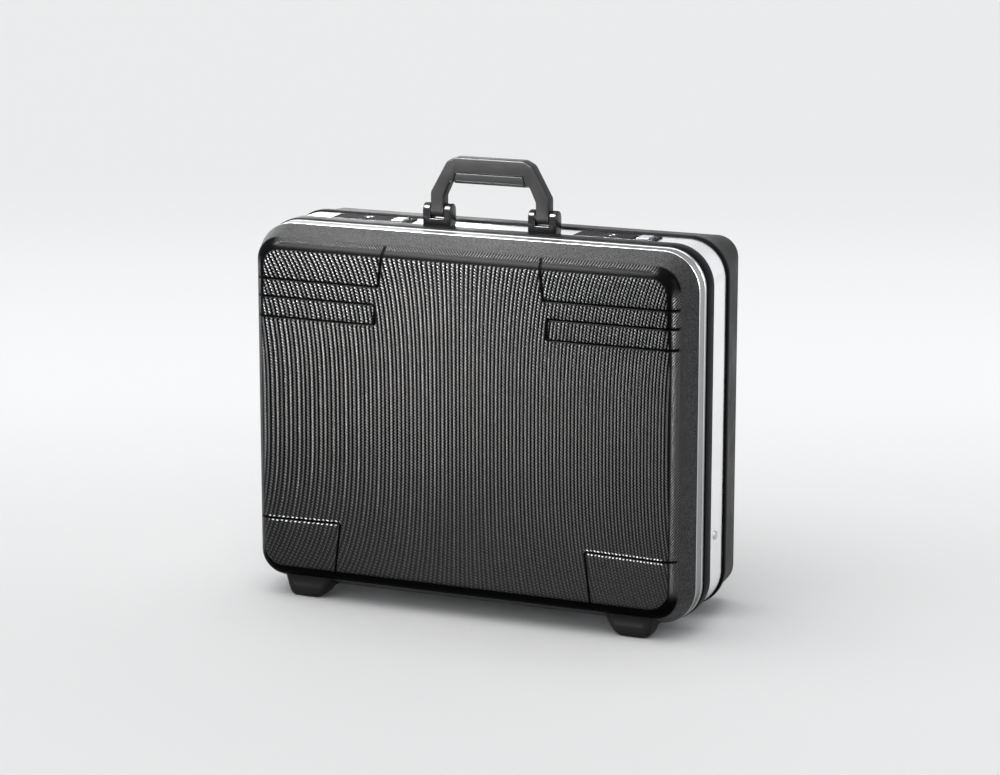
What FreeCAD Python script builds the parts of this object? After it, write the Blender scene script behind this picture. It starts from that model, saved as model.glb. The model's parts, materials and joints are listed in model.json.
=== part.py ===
"""Hard-shell attache case with a double aluminium frame, as separate sub-parts.

+Z is up, +X runs along the case's width and +Y from the lid (front) to the base (rear).
The origin is on the ground, midway between the sides and midway between the two faces.
Lengths are in millimetres. "Inset" is a distance inwards from the edge beads' outline.
"""
import FreeCAD
import Part
import math
import os

# Case outline, across the edge beads
CASE_WIDTH = 480.0
CASE_HEIGHT = 376.5
CASE_CORNER = 41.0
GROUND_GAP = 9.5
HALF_WIDTH = CASE_WIDTH / 2
CENTRE_Z = GROUND_GAP + CASE_HEIGHT / 2
TOP_Z = GROUND_GAP + CASE_HEIGHT

# Stations along Y, from the lid's face to the base's face
LID_FACE = -90.0
LID_FRAME_FRONT = -57.0
LID_BEAD_FRONT = -39.0
LID_FRAME_REAR = -20.6
BASE_FRAME_FRONT = -20.0
BASE_BEAD_FRONT = 18.0
BASE_FRAME_REAR = 26.5
BASE_FACE = 90.0

# Frame profile, as insets
FRAME_SKIN = 2.0
SKIN_THICKNESS = 2.2
SKIN_INNER = FRAME_SKIN + SKIN_THICKNESS
TONGUE_OUTER = 5.0
TONGUE_INNER = 6.8
TONGUE_REAR = -12.0
WEB_FRONT = -38.0
WEB_REAR = -34.0
STOP_INNER = 8.0
STOP_FRONT = 1.0
STOP_REAR = 3.5

# Moulded shells
SHELL_THICKNESS = 3.0
SHELL_STEP = 2.5
RIM_OUTER = 4.25
RIM_INNER = 7.25
RIM_ROOT = 1.5
LID_WALL_DEPTH = 22.0
LID_WALL_INSET_X = 12.0
LID_WALL_INSET_Z = 12.5
LID_WALL_CORNER = 25.0
BASE_WALL_DEPTH = 52.4
BASE_WALL_INSET_X = 11.5
BASE_WALL_INSET_Z = 8.0
BASE_WALL_CORNER = 22.0
ARC_STEPS = 5
CORNER_SHRINK = 0.7

# Feet
FOOT_X = (148.0, 204.0)
FOOT_Y = (51.0, 81.0)
FOOT_TAPER_X = 8.0
FOOT_TAPER_Y = 2.5
FOOT_TOP_Z = 26.0
FOOT_ROUND = 6.0
FOOT_SCREW_Y = 67.0
SCREW_RADIUS = 1.8
SCREW_TIP_Z = 6.0
SCREW_HEAD_HEIGHT = 1.6
SCREW_SEAT_LIFT = {"front": 2.6, "rear": 0.6}

# Handle and its brackets
PIN_Y = -11.5
PIN_Z = 399.4
PIN_RADIUS = 2.5
PIN_CLEARANCE = 0.08
HANDLE_DEPTH = 14.0
HANDLE_OUTER = [(64.0, PIN_Z), (64.0, 418.5), (46.0, 450.5), (37.0, 455.0)]
HANDLE_INNER = [(50.0, PIN_Z), (50.0, 414.5), (43.2, 429.0)]
HANDLE_CORNER = 6.0
GRIP_HALF_LENGTH = 36.0
GRIP_BOTTOM_Z = 428.2
GRIP_TOP_Z = 439.0
GRIP_SLANT = 3.0
BRACKET_DEPTH = 16.0
BRACKET_BASE_Z = 391.6
EAR_RADIUS = 7.5
INNER_EAR = (42.0, 49.5)
OUTER_EAR = (64.5, 72.4)
BRACKET_RIVET_Y = -7.0
FRAME_TOP_Z = TOP_Z - FRAME_SKIN
WALL_UNDER_Z = TOP_Z - SKIN_INNER

# Locks: both have the same hand, so each is placed by its own centre
LOCK_CENTRES = {"left": -132.5, "right": 132.5}
LOCK_LENGTH = 84.0
LOCK_FRONT = -19.5
LOCK_REAR = 8.0
PLATE_THICKNESS = 1.6
PLATE_SLANT = 5.0
RECESS = (60.5, 82.0)
BUTTON = (65.5, 78.0)
BUTTON_Y = (-15.5, 1.5)
BUTTON_TOP = 3.0
BUTTON_GAP = 0.5
SLIDE_TRAVEL = 4.5
STEM = (69.0, 75.0)
LOCK_Y = -5.0
STEM_HALF_DEPTH = 2.5
CARRIAGE = (68.0, 77.0)
CASE_X = (28.0, 81.0)
CASE_Y = (-10.8, 0.8)
CASE_FLOOR_Z = 366.0
CASE_WALL = 1.2
CYLINDER_AT = 36.5
CYLINDER_HEAD_RADIUS = 5.0
CYLINDER_BARREL_RADIUS = 3.9
HOOK_AT = 58.0
HOOK_Z = (371.0, 374.5)
HOOK_REACH = 12.5
STRIKER_X = (64.0, 74.0)

# Hinges along the bottom edge
HINGE_X = 130.0
HINGE_LENGTH = 60.0
HINGE_Y = -20.3
HINGE_Z = GROUND_GAP - 0.8
KNUCKLE_RADIUS = 2.6
KNUCKLE_COUNT = 5
KNUCKLE_GAP = 0.3
KNUCKLE_RELIEF = 2.95
HINGE_PIN_RADIUS = 1.2
HINGE_CLEARANCE = 0.06
LEAF_Z = (GROUND_GAP + 0.5, GROUND_GAP + FRAME_SKIN)
BASE_LEAF_REAR = 8.0
LID_LEAF_FRONT = -50.0
HINGE_RIVET_PITCH = 22.0
BASE_RIVET_Y = -2.0
LID_RIVET_Y = -44.0

# Folding stays: each stay's four pivots stay at the corners of a rhombus
STAY_BASE_Y = -4.2
STAY_BASE_Z = 92.0
STAY_LID_ANGLE = 15.5
STAY_ARM_X = (229.8, 231.4)
STAY_LINK_X = (227.8, 229.4)
STAY_HALF_WIDTH = 6.0
STAY_PIVOT_RADIUS = 2.5
STAY_CLEARANCE = 0.08
STAY_HEAD_RADIUS = 4.5
STAY_HEAD_THICKNESS = 1.0

SIDES = {"left": -1, "right": 1}


def point(x, y, z):
    """Vector from three coordinates."""
    return FreeCAD.Vector(x, y, z)


def box(x_range, y_range, z_range):
    """Box between pairs of coordinates, in any order."""
    low = [min(pair) for pair in (x_range, y_range, z_range)]
    high = [max(pair) for pair in (x_range, y_range, z_range)]
    size = [b - a for a, b in zip(low, high)]
    return Part.makeBox(size[0], size[1], size[2], point(*low))


def rod(radius, start, end):
    """Cylinder between two points."""
    span = end - start
    return Part.makeCylinder(radius, span.Length, start, span)


def stepped_rod(start, direction, steps):
    """Coaxial cylinders, each (radius, from, to) along the direction."""
    solids = [rod(radius, start + direction * a, start + direction * b) for radius, a, b in steps]
    return solids[0].fuse(solids[1:]).removeSplitter()


def plate_xz(corners, y0, y1):
    """Polygon in the XZ plane, thickened from y0 to y1."""
    wire = Part.makePolygon([point(x, y0, z) for x, z in corners + corners[:1]])
    return Part.Face(wire).extrude(point(0, y1 - y0, 0))


def plate_xy(corners, z0, z1):
    """Polygon in the XY plane, thickened from z0 to z1."""
    wire = Part.makePolygon([point(x, y, z0) for x, y in corners + corners[:1]])
    return Part.Face(wire).extrude(point(0, 0, z1 - z0))


def round_edges(solid, radius, wanted):
    """Fillet the edges that the test picks."""
    edges = [edge for edge in solid.Edges if wanted(edge)]
    return solid.makeFillet(radius, edges)


def runs_along(edge, axis):
    """True for a straight edge parallel to an axis (0, 1 or 2)."""
    if len(edge.Vertexes) != 2:
        return False
    span = edge.Vertexes[1].Point - edge.Vertexes[0].Point
    return abs(abs(span[axis]) - span.Length) < 1e-6


def outline(y, inset_x, inset_z, corner):
    """Rounded rectangle in the plane Y = y, set in from the beads' outline."""
    half_w = HALF_WIDTH - inset_x
    half_h = CASE_HEIGHT / 2 - inset_z
    edges = []
    previous = None
    first = None
    for quarter in range(4):
        centre_x = (half_w - corner) * (1 if quarter in (0, 3) else -1)
        centre_z = CENTRE_Z + (half_h - corner) * (1 if quarter in (0, 1) else -1)
        arc = []
        for step in range(3):
            angle = math.radians(90 * quarter + 45 * step)
            x = centre_x + corner * math.cos(angle)
            z = centre_z + corner * math.sin(angle)
            arc.append(point(x, y, z))
        if previous is not None:
            edges.append(Part.LineSegment(previous, arc[0]).toShape())
        else:
            first = arc[0]
        edges.append(Part.Arc(*arc).toShape())
        previous = arc[2]
    edges.append(Part.LineSegment(previous, first).toShape())
    return Part.Wire(edges)


def prism(inset, y0, y1):
    """Rounded block of the case's outline between two stations."""
    wire = outline(y0, inset, inset, CASE_CORNER - inset)
    return Part.Face(wire).extrude(point(0, y1 - y0, 0))


def ring(outer_inset, inner_inset, y0, y1):
    """Band that follows the case's outline."""
    return prism(outer_inset, y0, y1).cut(prism(inner_inset, y0, y1))


def wall_inset(depth, wall_depth, face_depth, wall_end):
    """Inset of a shell at a depth: a drafted wall, then an arc into the flat face."""
    slope = math.atan((wall_end - SHELL_STEP) / wall_depth)
    if depth <= wall_depth:
        return SHELL_STEP + depth * math.tan(slope)
    radius = (face_depth - wall_depth) / (1 - math.sin(slope))
    angle = math.asin(min(1.0, math.sin(slope) + (depth - wall_depth) / radius))
    return wall_end + radius * (math.cos(slope) - math.cos(angle))


def shell_solid(edge_y, face_y, wall_depth, insets, corner, thickness=0.0):
    """Solid inside a shell's surface; a thickness gives its cavity instead."""
    direction = 1 if face_y > edge_y else -1
    face_depth = abs(face_y - edge_y) - thickness
    depths = [0.0]
    for step in range(ARC_STEPS + 1):
        turn = math.sin(math.pi / 2 * step / ARC_STEPS)
        depths.append(wall_depth + (face_depth - wall_depth) * turn)
    wires = []
    for depth in depths:
        inset_x, inset_z = [wall_inset(depth, wall_depth, face_depth, end) for end in insets]
        share = min(1.0, depth / wall_depth)
        radius = (CASE_CORNER - SHELL_STEP) * (1 - share) + corner * share
        radius -= CORNER_SHRINK * max(0.0, inset_x - insets[0])
        y = edge_y + direction * depth
        wires.append(outline(y, inset_x + thickness, inset_z + thickness, radius - thickness))
    return Part.makeLoft(wires, True, True)


def lid_shell_solid(thickness=0.0):
    """Outer or inner volume of the lid's shell."""
    insets = (LID_WALL_INSET_X, LID_WALL_INSET_Z)
    edge_y = LID_FRAME_FRONT
    return shell_solid(edge_y, LID_FACE, LID_WALL_DEPTH, insets, LID_WALL_CORNER, thickness)


def base_shell_solid(thickness=0.0):
    """Outer or inner volume of the base's shell."""
    insets = (BASE_WALL_INSET_X, BASE_WALL_INSET_Z)
    edge_y = BASE_FRAME_REAR
    return shell_solid(edge_y, BASE_FACE, BASE_WALL_DEPTH, insets, BASE_WALL_CORNER, thickness)


def make_front_shell():
    """Lid shell: a shallow tray with a rim that sits inside the lid frame."""
    tray = lid_shell_solid().cut(lid_shell_solid(SHELL_THICKNESS))
    rim = ring(RIM_OUTER, RIM_INNER, LID_FRAME_FRONT - RIM_ROOT, WEB_FRONT - 0.1)
    return tray.fuse(rim).removeSplitter()


def make_rear_shell():
    """Base shell: a deeper tray with a rim that sits inside the base frame."""
    tray = base_shell_solid().cut(base_shell_solid(SHELL_THICKNESS))
    rim = ring(RIM_OUTER, RIM_INNER, STOP_REAR + 0.1, BASE_FRAME_REAR + RIM_ROOT)
    return tray.fuse(rim).removeSplitter()


def make_lid_frame():
    """Aluminium band of the lid, with a tongue that enters the base frame."""
    skin = ring(FRAME_SKIN, SKIN_INNER, LID_FRAME_FRONT, LID_FRAME_REAR)
    web = ring(SKIN_INNER, TONGUE_INNER, WEB_FRONT, WEB_REAR)
    tongue = ring(TONGUE_OUTER, TONGUE_INNER, WEB_REAR, TONGUE_REAR)
    return skin.fuse([web, tongue]).removeSplitter()


def make_base_frame():
    """Aluminium band of the base, with an inner stop for the shell's rim."""
    skin = ring(FRAME_SKIN, SKIN_INNER, BASE_FRAME_FRONT, BASE_FRAME_REAR)
    stop = ring(SKIN_INNER, STOP_INNER, STOP_FRONT, STOP_REAR)
    return skin.fuse(stop).removeSplitter()


def make_lid_edge_bead():
    """Black bead behind the lid frame, cut in two by the hinge leaves."""
    bead = ring(0.0, FRAME_SKIN, LID_BEAD_FRONT, LID_FRAME_REAR)
    for side in SIDES.values():
        half = HINGE_LENGTH / 2 + 1.0
        x_range = (side * HINGE_X - half, side * HINGE_X + half)
        bead = bead.cut(box(x_range, (LID_BEAD_FRONT - 1, LID_FRAME_REAR + 1), (0, LEAF_Z[1])))
    return bead


def make_foot(side, front):
    """Tapered foot, shaped to the shell's sloping bottom."""
    x0, x1 = FOOT_X
    y0, y1 = FOOT_Y
    direction = -1 if front else 1
    corners = [(side * x0, direction * y0), (side * x1, direction * y1)]
    low_x, high_x = sorted([corners[0][0], corners[1][0]])
    low_y, high_y = sorted([corners[0][1], corners[1][1]])
    sole_x = (low_x + FOOT_TAPER_X, high_x - FOOT_TAPER_X)
    sole_y = (low_y + FOOT_TAPER_Y, high_y - FOOT_TAPER_Y)
    sole = rounded_rectangle(sole_x, sole_y, 0.0, FOOT_ROUND)
    top = rounded_rectangle((low_x, high_x), (low_y, high_y), FOOT_TOP_Z, FOOT_ROUND)
    return Part.makeLoft([sole, top], True, True)


def rounded_rectangle(x_range, y_range, z, radius):
    """Rectangular wire with round corners in a horizontal plane."""
    edges = []
    previous = None
    for quarter in range(4):
        centre_x = x_range[1] - radius if quarter in (0, 3) else x_range[0] + radius
        centre_y = y_range[1] - radius if quarter in (0, 1) else y_range[0] + radius
        arc = []
        for step in range(3):
            angle = math.radians(90 * quarter + 45 * step)
            arc.append(point(centre_x + radius * math.cos(angle), centre_y + radius * math.sin(angle), z))
        if previous is not None:
            edges.append(Part.LineSegment(previous, arc[0]).toShape())
        else:
            first = arc[0]
        edges.append(Part.Arc(*arc).toShape())
        previous = arc[2]
    edges.append(Part.LineSegment(previous, first).toShape())
    return Part.Wire(edges)


def foot_screw(side, front):
    """Screw from inside a shell down into its foot."""
    direction = -1 if front else 1
    x = side * sum(FOOT_X) / 2
    y = direction * FOOT_SCREW_Y
    if front:
        face_depth = LID_FRAME_FRONT - LID_FACE
        wall = wall_inset(LID_FRAME_FRONT - y, LID_WALL_DEPTH, face_depth, LID_WALL_INSET_Z)
    else:
        face_depth = BASE_FACE - BASE_FRAME_REAR
        wall = wall_inset(y - BASE_FRAME_REAR, BASE_WALL_DEPTH, face_depth, BASE_WALL_INSET_Z)
    seat = GROUND_GAP + wall + SHELL_THICKNESS + SCREW_SEAT_LIFT["front" if front else "rear"]
    steps = [(SCREW_RADIUS, SCREW_TIP_Z, seat), (2 * SCREW_RADIUS, seat, seat + SCREW_HEAD_HEIGHT)]
    return stepped_rod(point(x, y, 0), point(0, 0, 1), steps)


def make_handle_body():
    """Whole bent handle before its grip insert is taken out."""
    left_outer = [(-x, z) for x, z in HANDLE_OUTER]
    left_inner = [(-x, z) for x, z in HANDLE_INNER]
    corners = HANDLE_OUTER + left_outer[::-1] + left_inner + HANDLE_INNER[::-1]
    y0 = PIN_Y - HANDLE_DEPTH / 2
    y1 = PIN_Y + HANDLE_DEPTH / 2
    body = plate_xz(corners, y0, y1)
    body = round_edges(body, HANDLE_CORNER, lambda e: runs_along(e, 1) and e.BoundBox.ZMin > PIN_Z + 1)
    ends = []
    for side in SIDES.values():
        start = point(side * HANDLE_INNER[0][0], PIN_Y, PIN_Z)
        end = point(side * HANDLE_OUTER[0][0], PIN_Y, PIN_Z)
        ends.append(rod(HANDLE_DEPTH / 2, start, end))
    body = body.fuse(ends).removeSplitter()
    for side in SIDES.values():
        start = point(side * INNER_EAR[0], PIN_Y, PIN_Z)
        end = point(side * OUTER_EAR[1], PIN_Y, PIN_Z)
        body = body.cut(rod(PIN_RADIUS + PIN_CLEARANCE, start, end))
    return body


def make_grip_block():
    """Space of the grip insert under the handle's bar."""
    half = GRIP_HALF_LENGTH
    low, high = GRIP_BOTTOM_Z, GRIP_TOP_Z
    corners = [(-half - GRIP_SLANT, low), (half + GRIP_SLANT, low), (half, high), (-half, high)]
    return plate_xz(corners, PIN_Y - HANDLE_DEPTH / 2, PIN_Y + HANDLE_DEPTH / 2)


def make_bracket(side):
    """Forked bracket: a base block and two round-topped ears."""
    y_range = (PIN_Y - BRACKET_DEPTH / 2, PIN_Y + BRACKET_DEPTH / 2)
    base = box((side * INNER_EAR[0], side * OUTER_EAR[1]), y_range, (FRAME_TOP_Z, BRACKET_BASE_Z))
    parts = []
    for ear in (INNER_EAR, OUTER_EAR):
        x_range = (side * ear[0], side * ear[1])
        ear_y = (PIN_Y - EAR_RADIUS, PIN_Y + EAR_RADIUS)
        parts.append(box(x_range, ear_y, (BRACKET_BASE_Z, PIN_Z)))
        parts.append(rod(EAR_RADIUS, point(x_range[0], PIN_Y, PIN_Z), point(x_range[1], PIN_Y, PIN_Z)))
    bracket = base.fuse(parts).removeSplitter()
    return bracket.cut([handle_pin(side), bracket_rivet(side, INNER_EAR), bracket_rivet(side, OUTER_EAR)])


def handle_pin(side):
    """Pin through both ears of a bracket, just short of their outer faces."""
    start = point(side * (INNER_EAR[0] + 0.8), PIN_Y, PIN_Z)
    end = point(side * (OUTER_EAR[1] - 0.8), PIN_Y, PIN_Z)
    return rod(PIN_RADIUS, start, end)


def bracket_rivet(side, ear):
    """Rivet from under the frame's top wall up into a bracket."""
    base = point(side * (ear[0] + ear[1]) / 2, BRACKET_RIVET_Y, 0)
    steps = [(3.0, WALL_UNDER_Z - 1.0, WALL_UNDER_Z), (1.8, WALL_UNDER_Z, BRACKET_BASE_Z - 1.5)]
    return stepped_rod(base, point(0, 0, 1), steps)


def lock_x(name, pair):
    """X range of a lock feature given along the plate."""
    start = LOCK_CENTRES[name] - LOCK_LENGTH / 2
    return (start + pair[0], start + pair[1])


def lock_point(name, along, y, z):
    """Point on a lock given along the plate."""
    return point(LOCK_CENTRES[name] - LOCK_LENGTH / 2 + along, y, z)


def make_lock_plate(name):
    """Thin plate on the frame, with the button's recess and the key hole."""
    x0, x1 = lock_x(name, (0, LOCK_LENGTH))
    slant = PLATE_SLANT
    corners = [(x0, LOCK_FRONT), (x1, LOCK_FRONT), (x1, LOCK_REAR), (x0 + slant, LOCK_REAR)]
    corners.append((x0, LOCK_REAR - slant))
    top = FRAME_TOP_Z + PLATE_THICKNESS
    plate = plate_xy(corners, FRAME_TOP_Z, top)
    recess_y = (BUTTON_Y[0] - BUTTON_GAP, BUTTON_Y[1] + BUTTON_GAP)
    plate = plate.cut(box(lock_x(name, RECESS), recess_y, (FRAME_TOP_Z - 1, top + 1)))
    start = lock_point(name, CYLINDER_AT, LOCK_Y, FRAME_TOP_Z - 1)
    plate = plate.cut(rod(CYLINDER_HEAD_RADIUS + 0.1, start, start + point(0, 0, 5)))
    return plate.cut(lock_rivets(name))


def make_lock_slide(name):
    """Button, stem and carriage in one piece."""
    button = box(lock_x(name, BUTTON), BUTTON_Y, (FRAME_TOP_Z + 0.15, FRAME_TOP_Z + BUTTON_TOP))
    button = round_edges(button, 1.0, lambda e: e.BoundBox.ZMin > FRAME_TOP_Z + BUTTON_TOP - 0.1)
    stem_y = (LOCK_Y - STEM_HALF_DEPTH, LOCK_Y + STEM_HALF_DEPTH)
    stem = box(lock_x(name, STEM), stem_y, (HOOK_Z[1] + 2.5, FRAME_TOP_Z + 1))
    carriage_y = (CASE_Y[0] + CASE_WALL + 0.4, CASE_Y[1] - CASE_WALL - 0.4)
    carriage = box(lock_x(name, CARRIAGE), carriage_y, (HOOK_Z[0], HOOK_Z[1] + 3.5))
    return button.fuse([stem, carriage]).removeSplitter()


def wall_slot(name):
    """Slot in the frame's top wall that the stem slides in."""
    x_range = lock_x(name, (STEM[0] - SLIDE_TRAVEL - 0.5, STEM[1] + 0.5))
    y_range = (LOCK_Y - STEM_HALF_DEPTH - 0.4, LOCK_Y + STEM_HALF_DEPTH + 0.4)
    return box(x_range, y_range, (WALL_UNDER_Z - 1, FRAME_TOP_Z + 1))


def make_lock_cylinder(name):
    """Key cylinder: a round head with a key slot, on a narrower barrel."""
    low = CASE_FLOOR_Z + CASE_WALL + 1.0
    top = FRAME_TOP_Z + PLATE_THICKNESS + 0.6
    steps = [(CYLINDER_BARREL_RADIUS, low, FRAME_TOP_Z), (CYLINDER_HEAD_RADIUS, FRAME_TOP_Z + 0.1, top)]
    steps.append((CYLINDER_BARREL_RADIUS, FRAME_TOP_Z, FRAME_TOP_Z + 0.2))
    base = lock_point(name, CYLINDER_AT, LOCK_Y, 0)
    cylinder = stepped_rod(base, point(0, 0, 1), steps)
    slot = box((base.x - 3.0, base.x + 3.0), (LOCK_Y - 0.5, LOCK_Y + 0.5), (top - 4.0, top + 1))
    return cylinder.cut(slot)


def cylinder_hole(name):
    """Hole for the barrel in the frame's top wall."""
    start = lock_point(name, CYLINDER_AT, LOCK_Y, WALL_UNDER_Z - 1)
    return rod(CYLINDER_BARREL_RADIUS + 0.3, start, start + point(0, 0, 5))


def make_lock_case(name):
    """Open-topped box under the frame, with a window for the hook."""
    outer = box(lock_x(name, CASE_X), CASE_Y, (CASE_FLOOR_Z, WALL_UNDER_Z))
    inner_x = (CASE_X[0] + CASE_WALL, CASE_X[1] - CASE_WALL)
    inner_y = (CASE_Y[0] + CASE_WALL, CASE_Y[1] - CASE_WALL)
    inner = box(lock_x(name, inner_x), inner_y, (CASE_FLOOR_Z + CASE_WALL, WALL_UNDER_Z + 1))
    window_z = (HOOK_Z[0] - 0.5, HOOK_Z[1] + 0.5)
    window = box(lock_x(name, (HOOK_AT - 9.0, HOOK_AT + 6.5)), (CASE_Y[0] - 1, CASE_Y[0] + 2), window_z)
    post_base = lock_point(name, HOOK_AT, LOCK_Y, CASE_FLOOR_Z)
    post = rod(1.5, post_base, post_base + point(0, 0, HOOK_Z[1] + 1.0 - CASE_FLOOR_Z))
    ledge = rod(3.0, post_base, post_base + point(0, 0, HOOK_Z[0] - 0.2 - CASE_FLOOR_Z))
    return outer.cut([inner, window]).fuse([post, ledge]).removeSplitter()


def make_lock_hook(name):
    """Lever on an upright post; its claw points at the striker."""
    centre = lock_point(name, HOOK_AT, LOCK_Y, HOOK_Z[0])
    height = point(0, 0, HOOK_Z[1] - HOOK_Z[0])
    eye = rod(3.4, centre, centre + height)
    arm = box((centre.x - 2.2, centre.x + 2.2), (LOCK_Y, LOCK_Y - HOOK_REACH), HOOK_Z)
    claw = box((centre.x, centre.x + 5.4), (LOCK_Y - HOOK_REACH, LOCK_Y - HOOK_REACH + 3.0), HOOK_Z)
    hook = eye.fuse([arm, claw]).removeSplitter()
    return hook.cut(rod(1.5 + PIN_CLEARANCE, centre - height, centre + height * 2))


def make_lock_striker(name):
    """Catch plate under the lid's tongue, with a notch beside the claw."""
    x_range = lock_x(name, STRIKER_X)
    tongue_z = TOP_Z - TONGUE_INNER
    flange = box(x_range, (-33.0, -22.0), (tongue_z - 1.5, tongue_z))
    upright = box(x_range, (-33.0, -31.5), (371.5, tongue_z))
    tab = box(x_range, (-33.0, TONGUE_REAR - 0.2), (371.5, 373.5))
    notch_x = lock_x(name, (STRIKER_X[0], STRIKER_X[0] + 4.0))
    notch = box(notch_x, (LOCK_Y - HOOK_REACH - 0.5, LOCK_Y - HOOK_REACH + 3.5), (371, 374))
    striker = flange.fuse([upright, tab]).cut(notch).removeSplitter()
    return striker.cut(striker_rivet(name))


def striker_rivet(name):
    """Rivet through the striker's flange and the lid's tongue."""
    x0, x1 = lock_x(name, STRIKER_X)
    tongue_z = TOP_Z - TONGUE_INNER
    base = point((x0 + x1) / 2, -27.0, 0)
    steps = [(2.4, tongue_z - 2.3, tongue_z - 1.5), (1.4, tongue_z - 1.5, TOP_Z - TONGUE_OUTER)]
    return stepped_rod(base, point(0, 0, 1), steps)


def lock_rivets(name):
    """Two blind rivets from under the frame's wall into the lock plate."""
    steps = [(2.6, WALL_UNDER_Z - 0.9, WALL_UNDER_Z), (1.5, WALL_UNDER_Z, FRAME_TOP_Z + 1.0)]
    along = (8.0, 22.0)
    return [stepped_rod(lock_point(name, at, LOCK_Y, 0), point(0, 0, 1), steps) for at in along]


def knuckle_range(side, index):
    """X range of one knuckle."""
    pitch = HINGE_LENGTH / KNUCKLE_COUNT
    start = side * HINGE_X - HINGE_LENGTH / 2 + index * pitch
    return (start + KNUCKLE_GAP / 2, start + pitch - KNUCKLE_GAP / 2)


def hinge_axis(x):
    """Point on the hinge's axis."""
    return point(x, HINGE_Y, HINGE_Z)


def make_hinge_leaf(side, base):
    """One leaf with its knuckles; the other leaf's knuckles turn in the gaps."""
    y_range = (HINGE_Y, BASE_LEAF_REAR) if base else (HINGE_Y, LID_LEAF_FRONT)
    half = HINGE_LENGTH / 2
    leaf = box((side * HINGE_X - half, side * HINGE_X + half), y_range, LEAF_Z)
    own = 0 if base else 1
    for index in range(KNUCKLE_COUNT):
        x0, x1 = knuckle_range(side, index)
        if index % 2 == own:
            leaf = leaf.fuse(rod(KNUCKLE_RADIUS, hinge_axis(x0), hinge_axis(x1)))
        else:
            gap = KNUCKLE_GAP
            leaf = leaf.cut(rod(KNUCKLE_RELIEF, hinge_axis(x0 - gap), hinge_axis(x1 + gap)))
    clearance = 0.0 if base else HINGE_CLEARANCE
    start = hinge_axis(side * HINGE_X - half)
    end = hinge_axis(side * HINGE_X + half)
    leaf = leaf.cut(rod(HINGE_PIN_RADIUS + clearance, start, end))
    rivets = base_hinge_rivets(side) if base else lid_hinge_rivets(side)
    return leaf.cut(rivets).removeSplitter()


def hinge_pin(side):
    """Pin through all the knuckles of one hinge."""
    half = HINGE_LENGTH / 2 - KNUCKLE_GAP
    return rod(HINGE_PIN_RADIUS, hinge_axis(side * HINGE_X - half), hinge_axis(side * HINGE_X + half))


def hinge_rivets(side, y, inner_z):
    """Row of rivets up through a leaf and the wall above it."""
    steps = [(2.4, LEAF_Z[0] - 0.8, LEAF_Z[0]), (1.5, LEAF_Z[0], inner_z), (2.4, inner_z, inner_z + 0.9)]
    rivets = []
    for index in (-1, 0, 1):
        base = point(side * HINGE_X + index * HINGE_RIVET_PITCH, y, 0)
        rivets.append(stepped_rod(base, point(0, 0, 1), steps))
    return rivets


def base_hinge_rivets(side):
    """Rivets of the base leaf, through the base frame."""
    return hinge_rivets(side, BASE_RIVET_Y, GROUND_GAP + SKIN_INNER)


def lid_hinge_rivets(side):
    """Rivets of the lid leaf, through the lid frame and the shell's rim."""
    return hinge_rivets(side, LID_RIVET_Y, GROUND_GAP + RIM_INNER)


def stay_pivots():
    """Base, elbow and lid pivots of a stay as (y, z), with the lid closed."""
    base = (STAY_BASE_Y - HINGE_Y, STAY_BASE_Z - HINGE_Z)
    reach = math.hypot(*base)
    angle = math.radians(STAY_LID_ANGLE)
    lid = (-reach * math.sin(angle), reach * math.cos(angle))
    elbow = (base[0] + lid[0], base[1] + lid[1])
    return [(HINGE_Y + y, HINGE_Z + z) for y, z in (base, elbow, lid)]


def make_stay_bar(side, ends, x_range, bores):
    """Flat bar with round ends and a bore at each end."""
    (y0, z0), (y1, z1) = ends
    start = point(side * x_range[0], y0, z0)
    through = point(side * (x_range[1] - x_range[0]), 0, 0)
    along = point(0, y1 - y0, z1 - z0)
    across = along.cross(point(1, 0, 0)).normalize() * STAY_HALF_WIDTH
    corners = [start + across, start + along + across, start + along - across, start - across]
    bar = Part.Face(Part.makePolygon(corners + corners[:1])).extrude(through)
    for centre in (start, start + along):
        bar = bar.fuse(rod(STAY_HALF_WIDTH, centre, centre + through))
    for centre, radius in zip((start, start + along), bores):
        bar = bar.cut(rod(radius, centre - through, centre + through * 2))
    return bar.removeSplitter()


def stay_rivet(side, pivot, x_from, x_to, heads):
    """Pivot rivet along X; heads are (inner side, outer side)."""
    thickness = STAY_HEAD_THICKNESS
    steps = [(STAY_PIVOT_RADIUS, x_from, x_to)]
    if heads[0]:
        steps.append((STAY_HEAD_RADIUS, x_from - thickness, x_from))
    if heads[1]:
        steps.append((STAY_HEAD_RADIUS, x_to, x_to + thickness))
    return stepped_rod(point(0, *pivot), point(side, 0, 0), steps)


def spacer(side, pivot, x_from, x_to):
    """Boss that keeps a bar off the frame's wall."""
    return stepped_rod(point(0, *pivot), point(side, 0, 0), [(STAY_HEAD_RADIUS, x_from, x_to)])


def stay_base_rivet(side):
    """Pivot of the arm on the base frame, with its head outside."""
    pivot = stay_pivots()[0]
    rivet = stay_rivet(side, pivot, STAY_ARM_X[0] - 0.2, HALF_WIDTH - FRAME_SKIN, (True, True))
    return rivet.fuse(spacer(side, pivot, STAY_ARM_X[1] + 0.2, HALF_WIDTH - SKIN_INNER)).removeSplitter()


def stay_lid_rivet(side):
    """Pivot of the link on the lid frame, flush outside."""
    pivot = stay_pivots()[2]
    rivet = stay_rivet(side, pivot, STAY_LINK_X[0] - 0.2, HALF_WIDTH - FRAME_SKIN, (True, False))
    return rivet.fuse(spacer(side, pivot, STAY_LINK_X[1] + 0.2, HALF_WIDTH - RIM_INNER)).removeSplitter()


def stay_elbow_rivet(side):
    """Pivot that joins the arm and the link."""
    pivot = stay_pivots()[1]
    return stay_rivet(side, pivot, STAY_LINK_X[0] - 0.2, STAY_ARM_X[1], (True, False))


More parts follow.
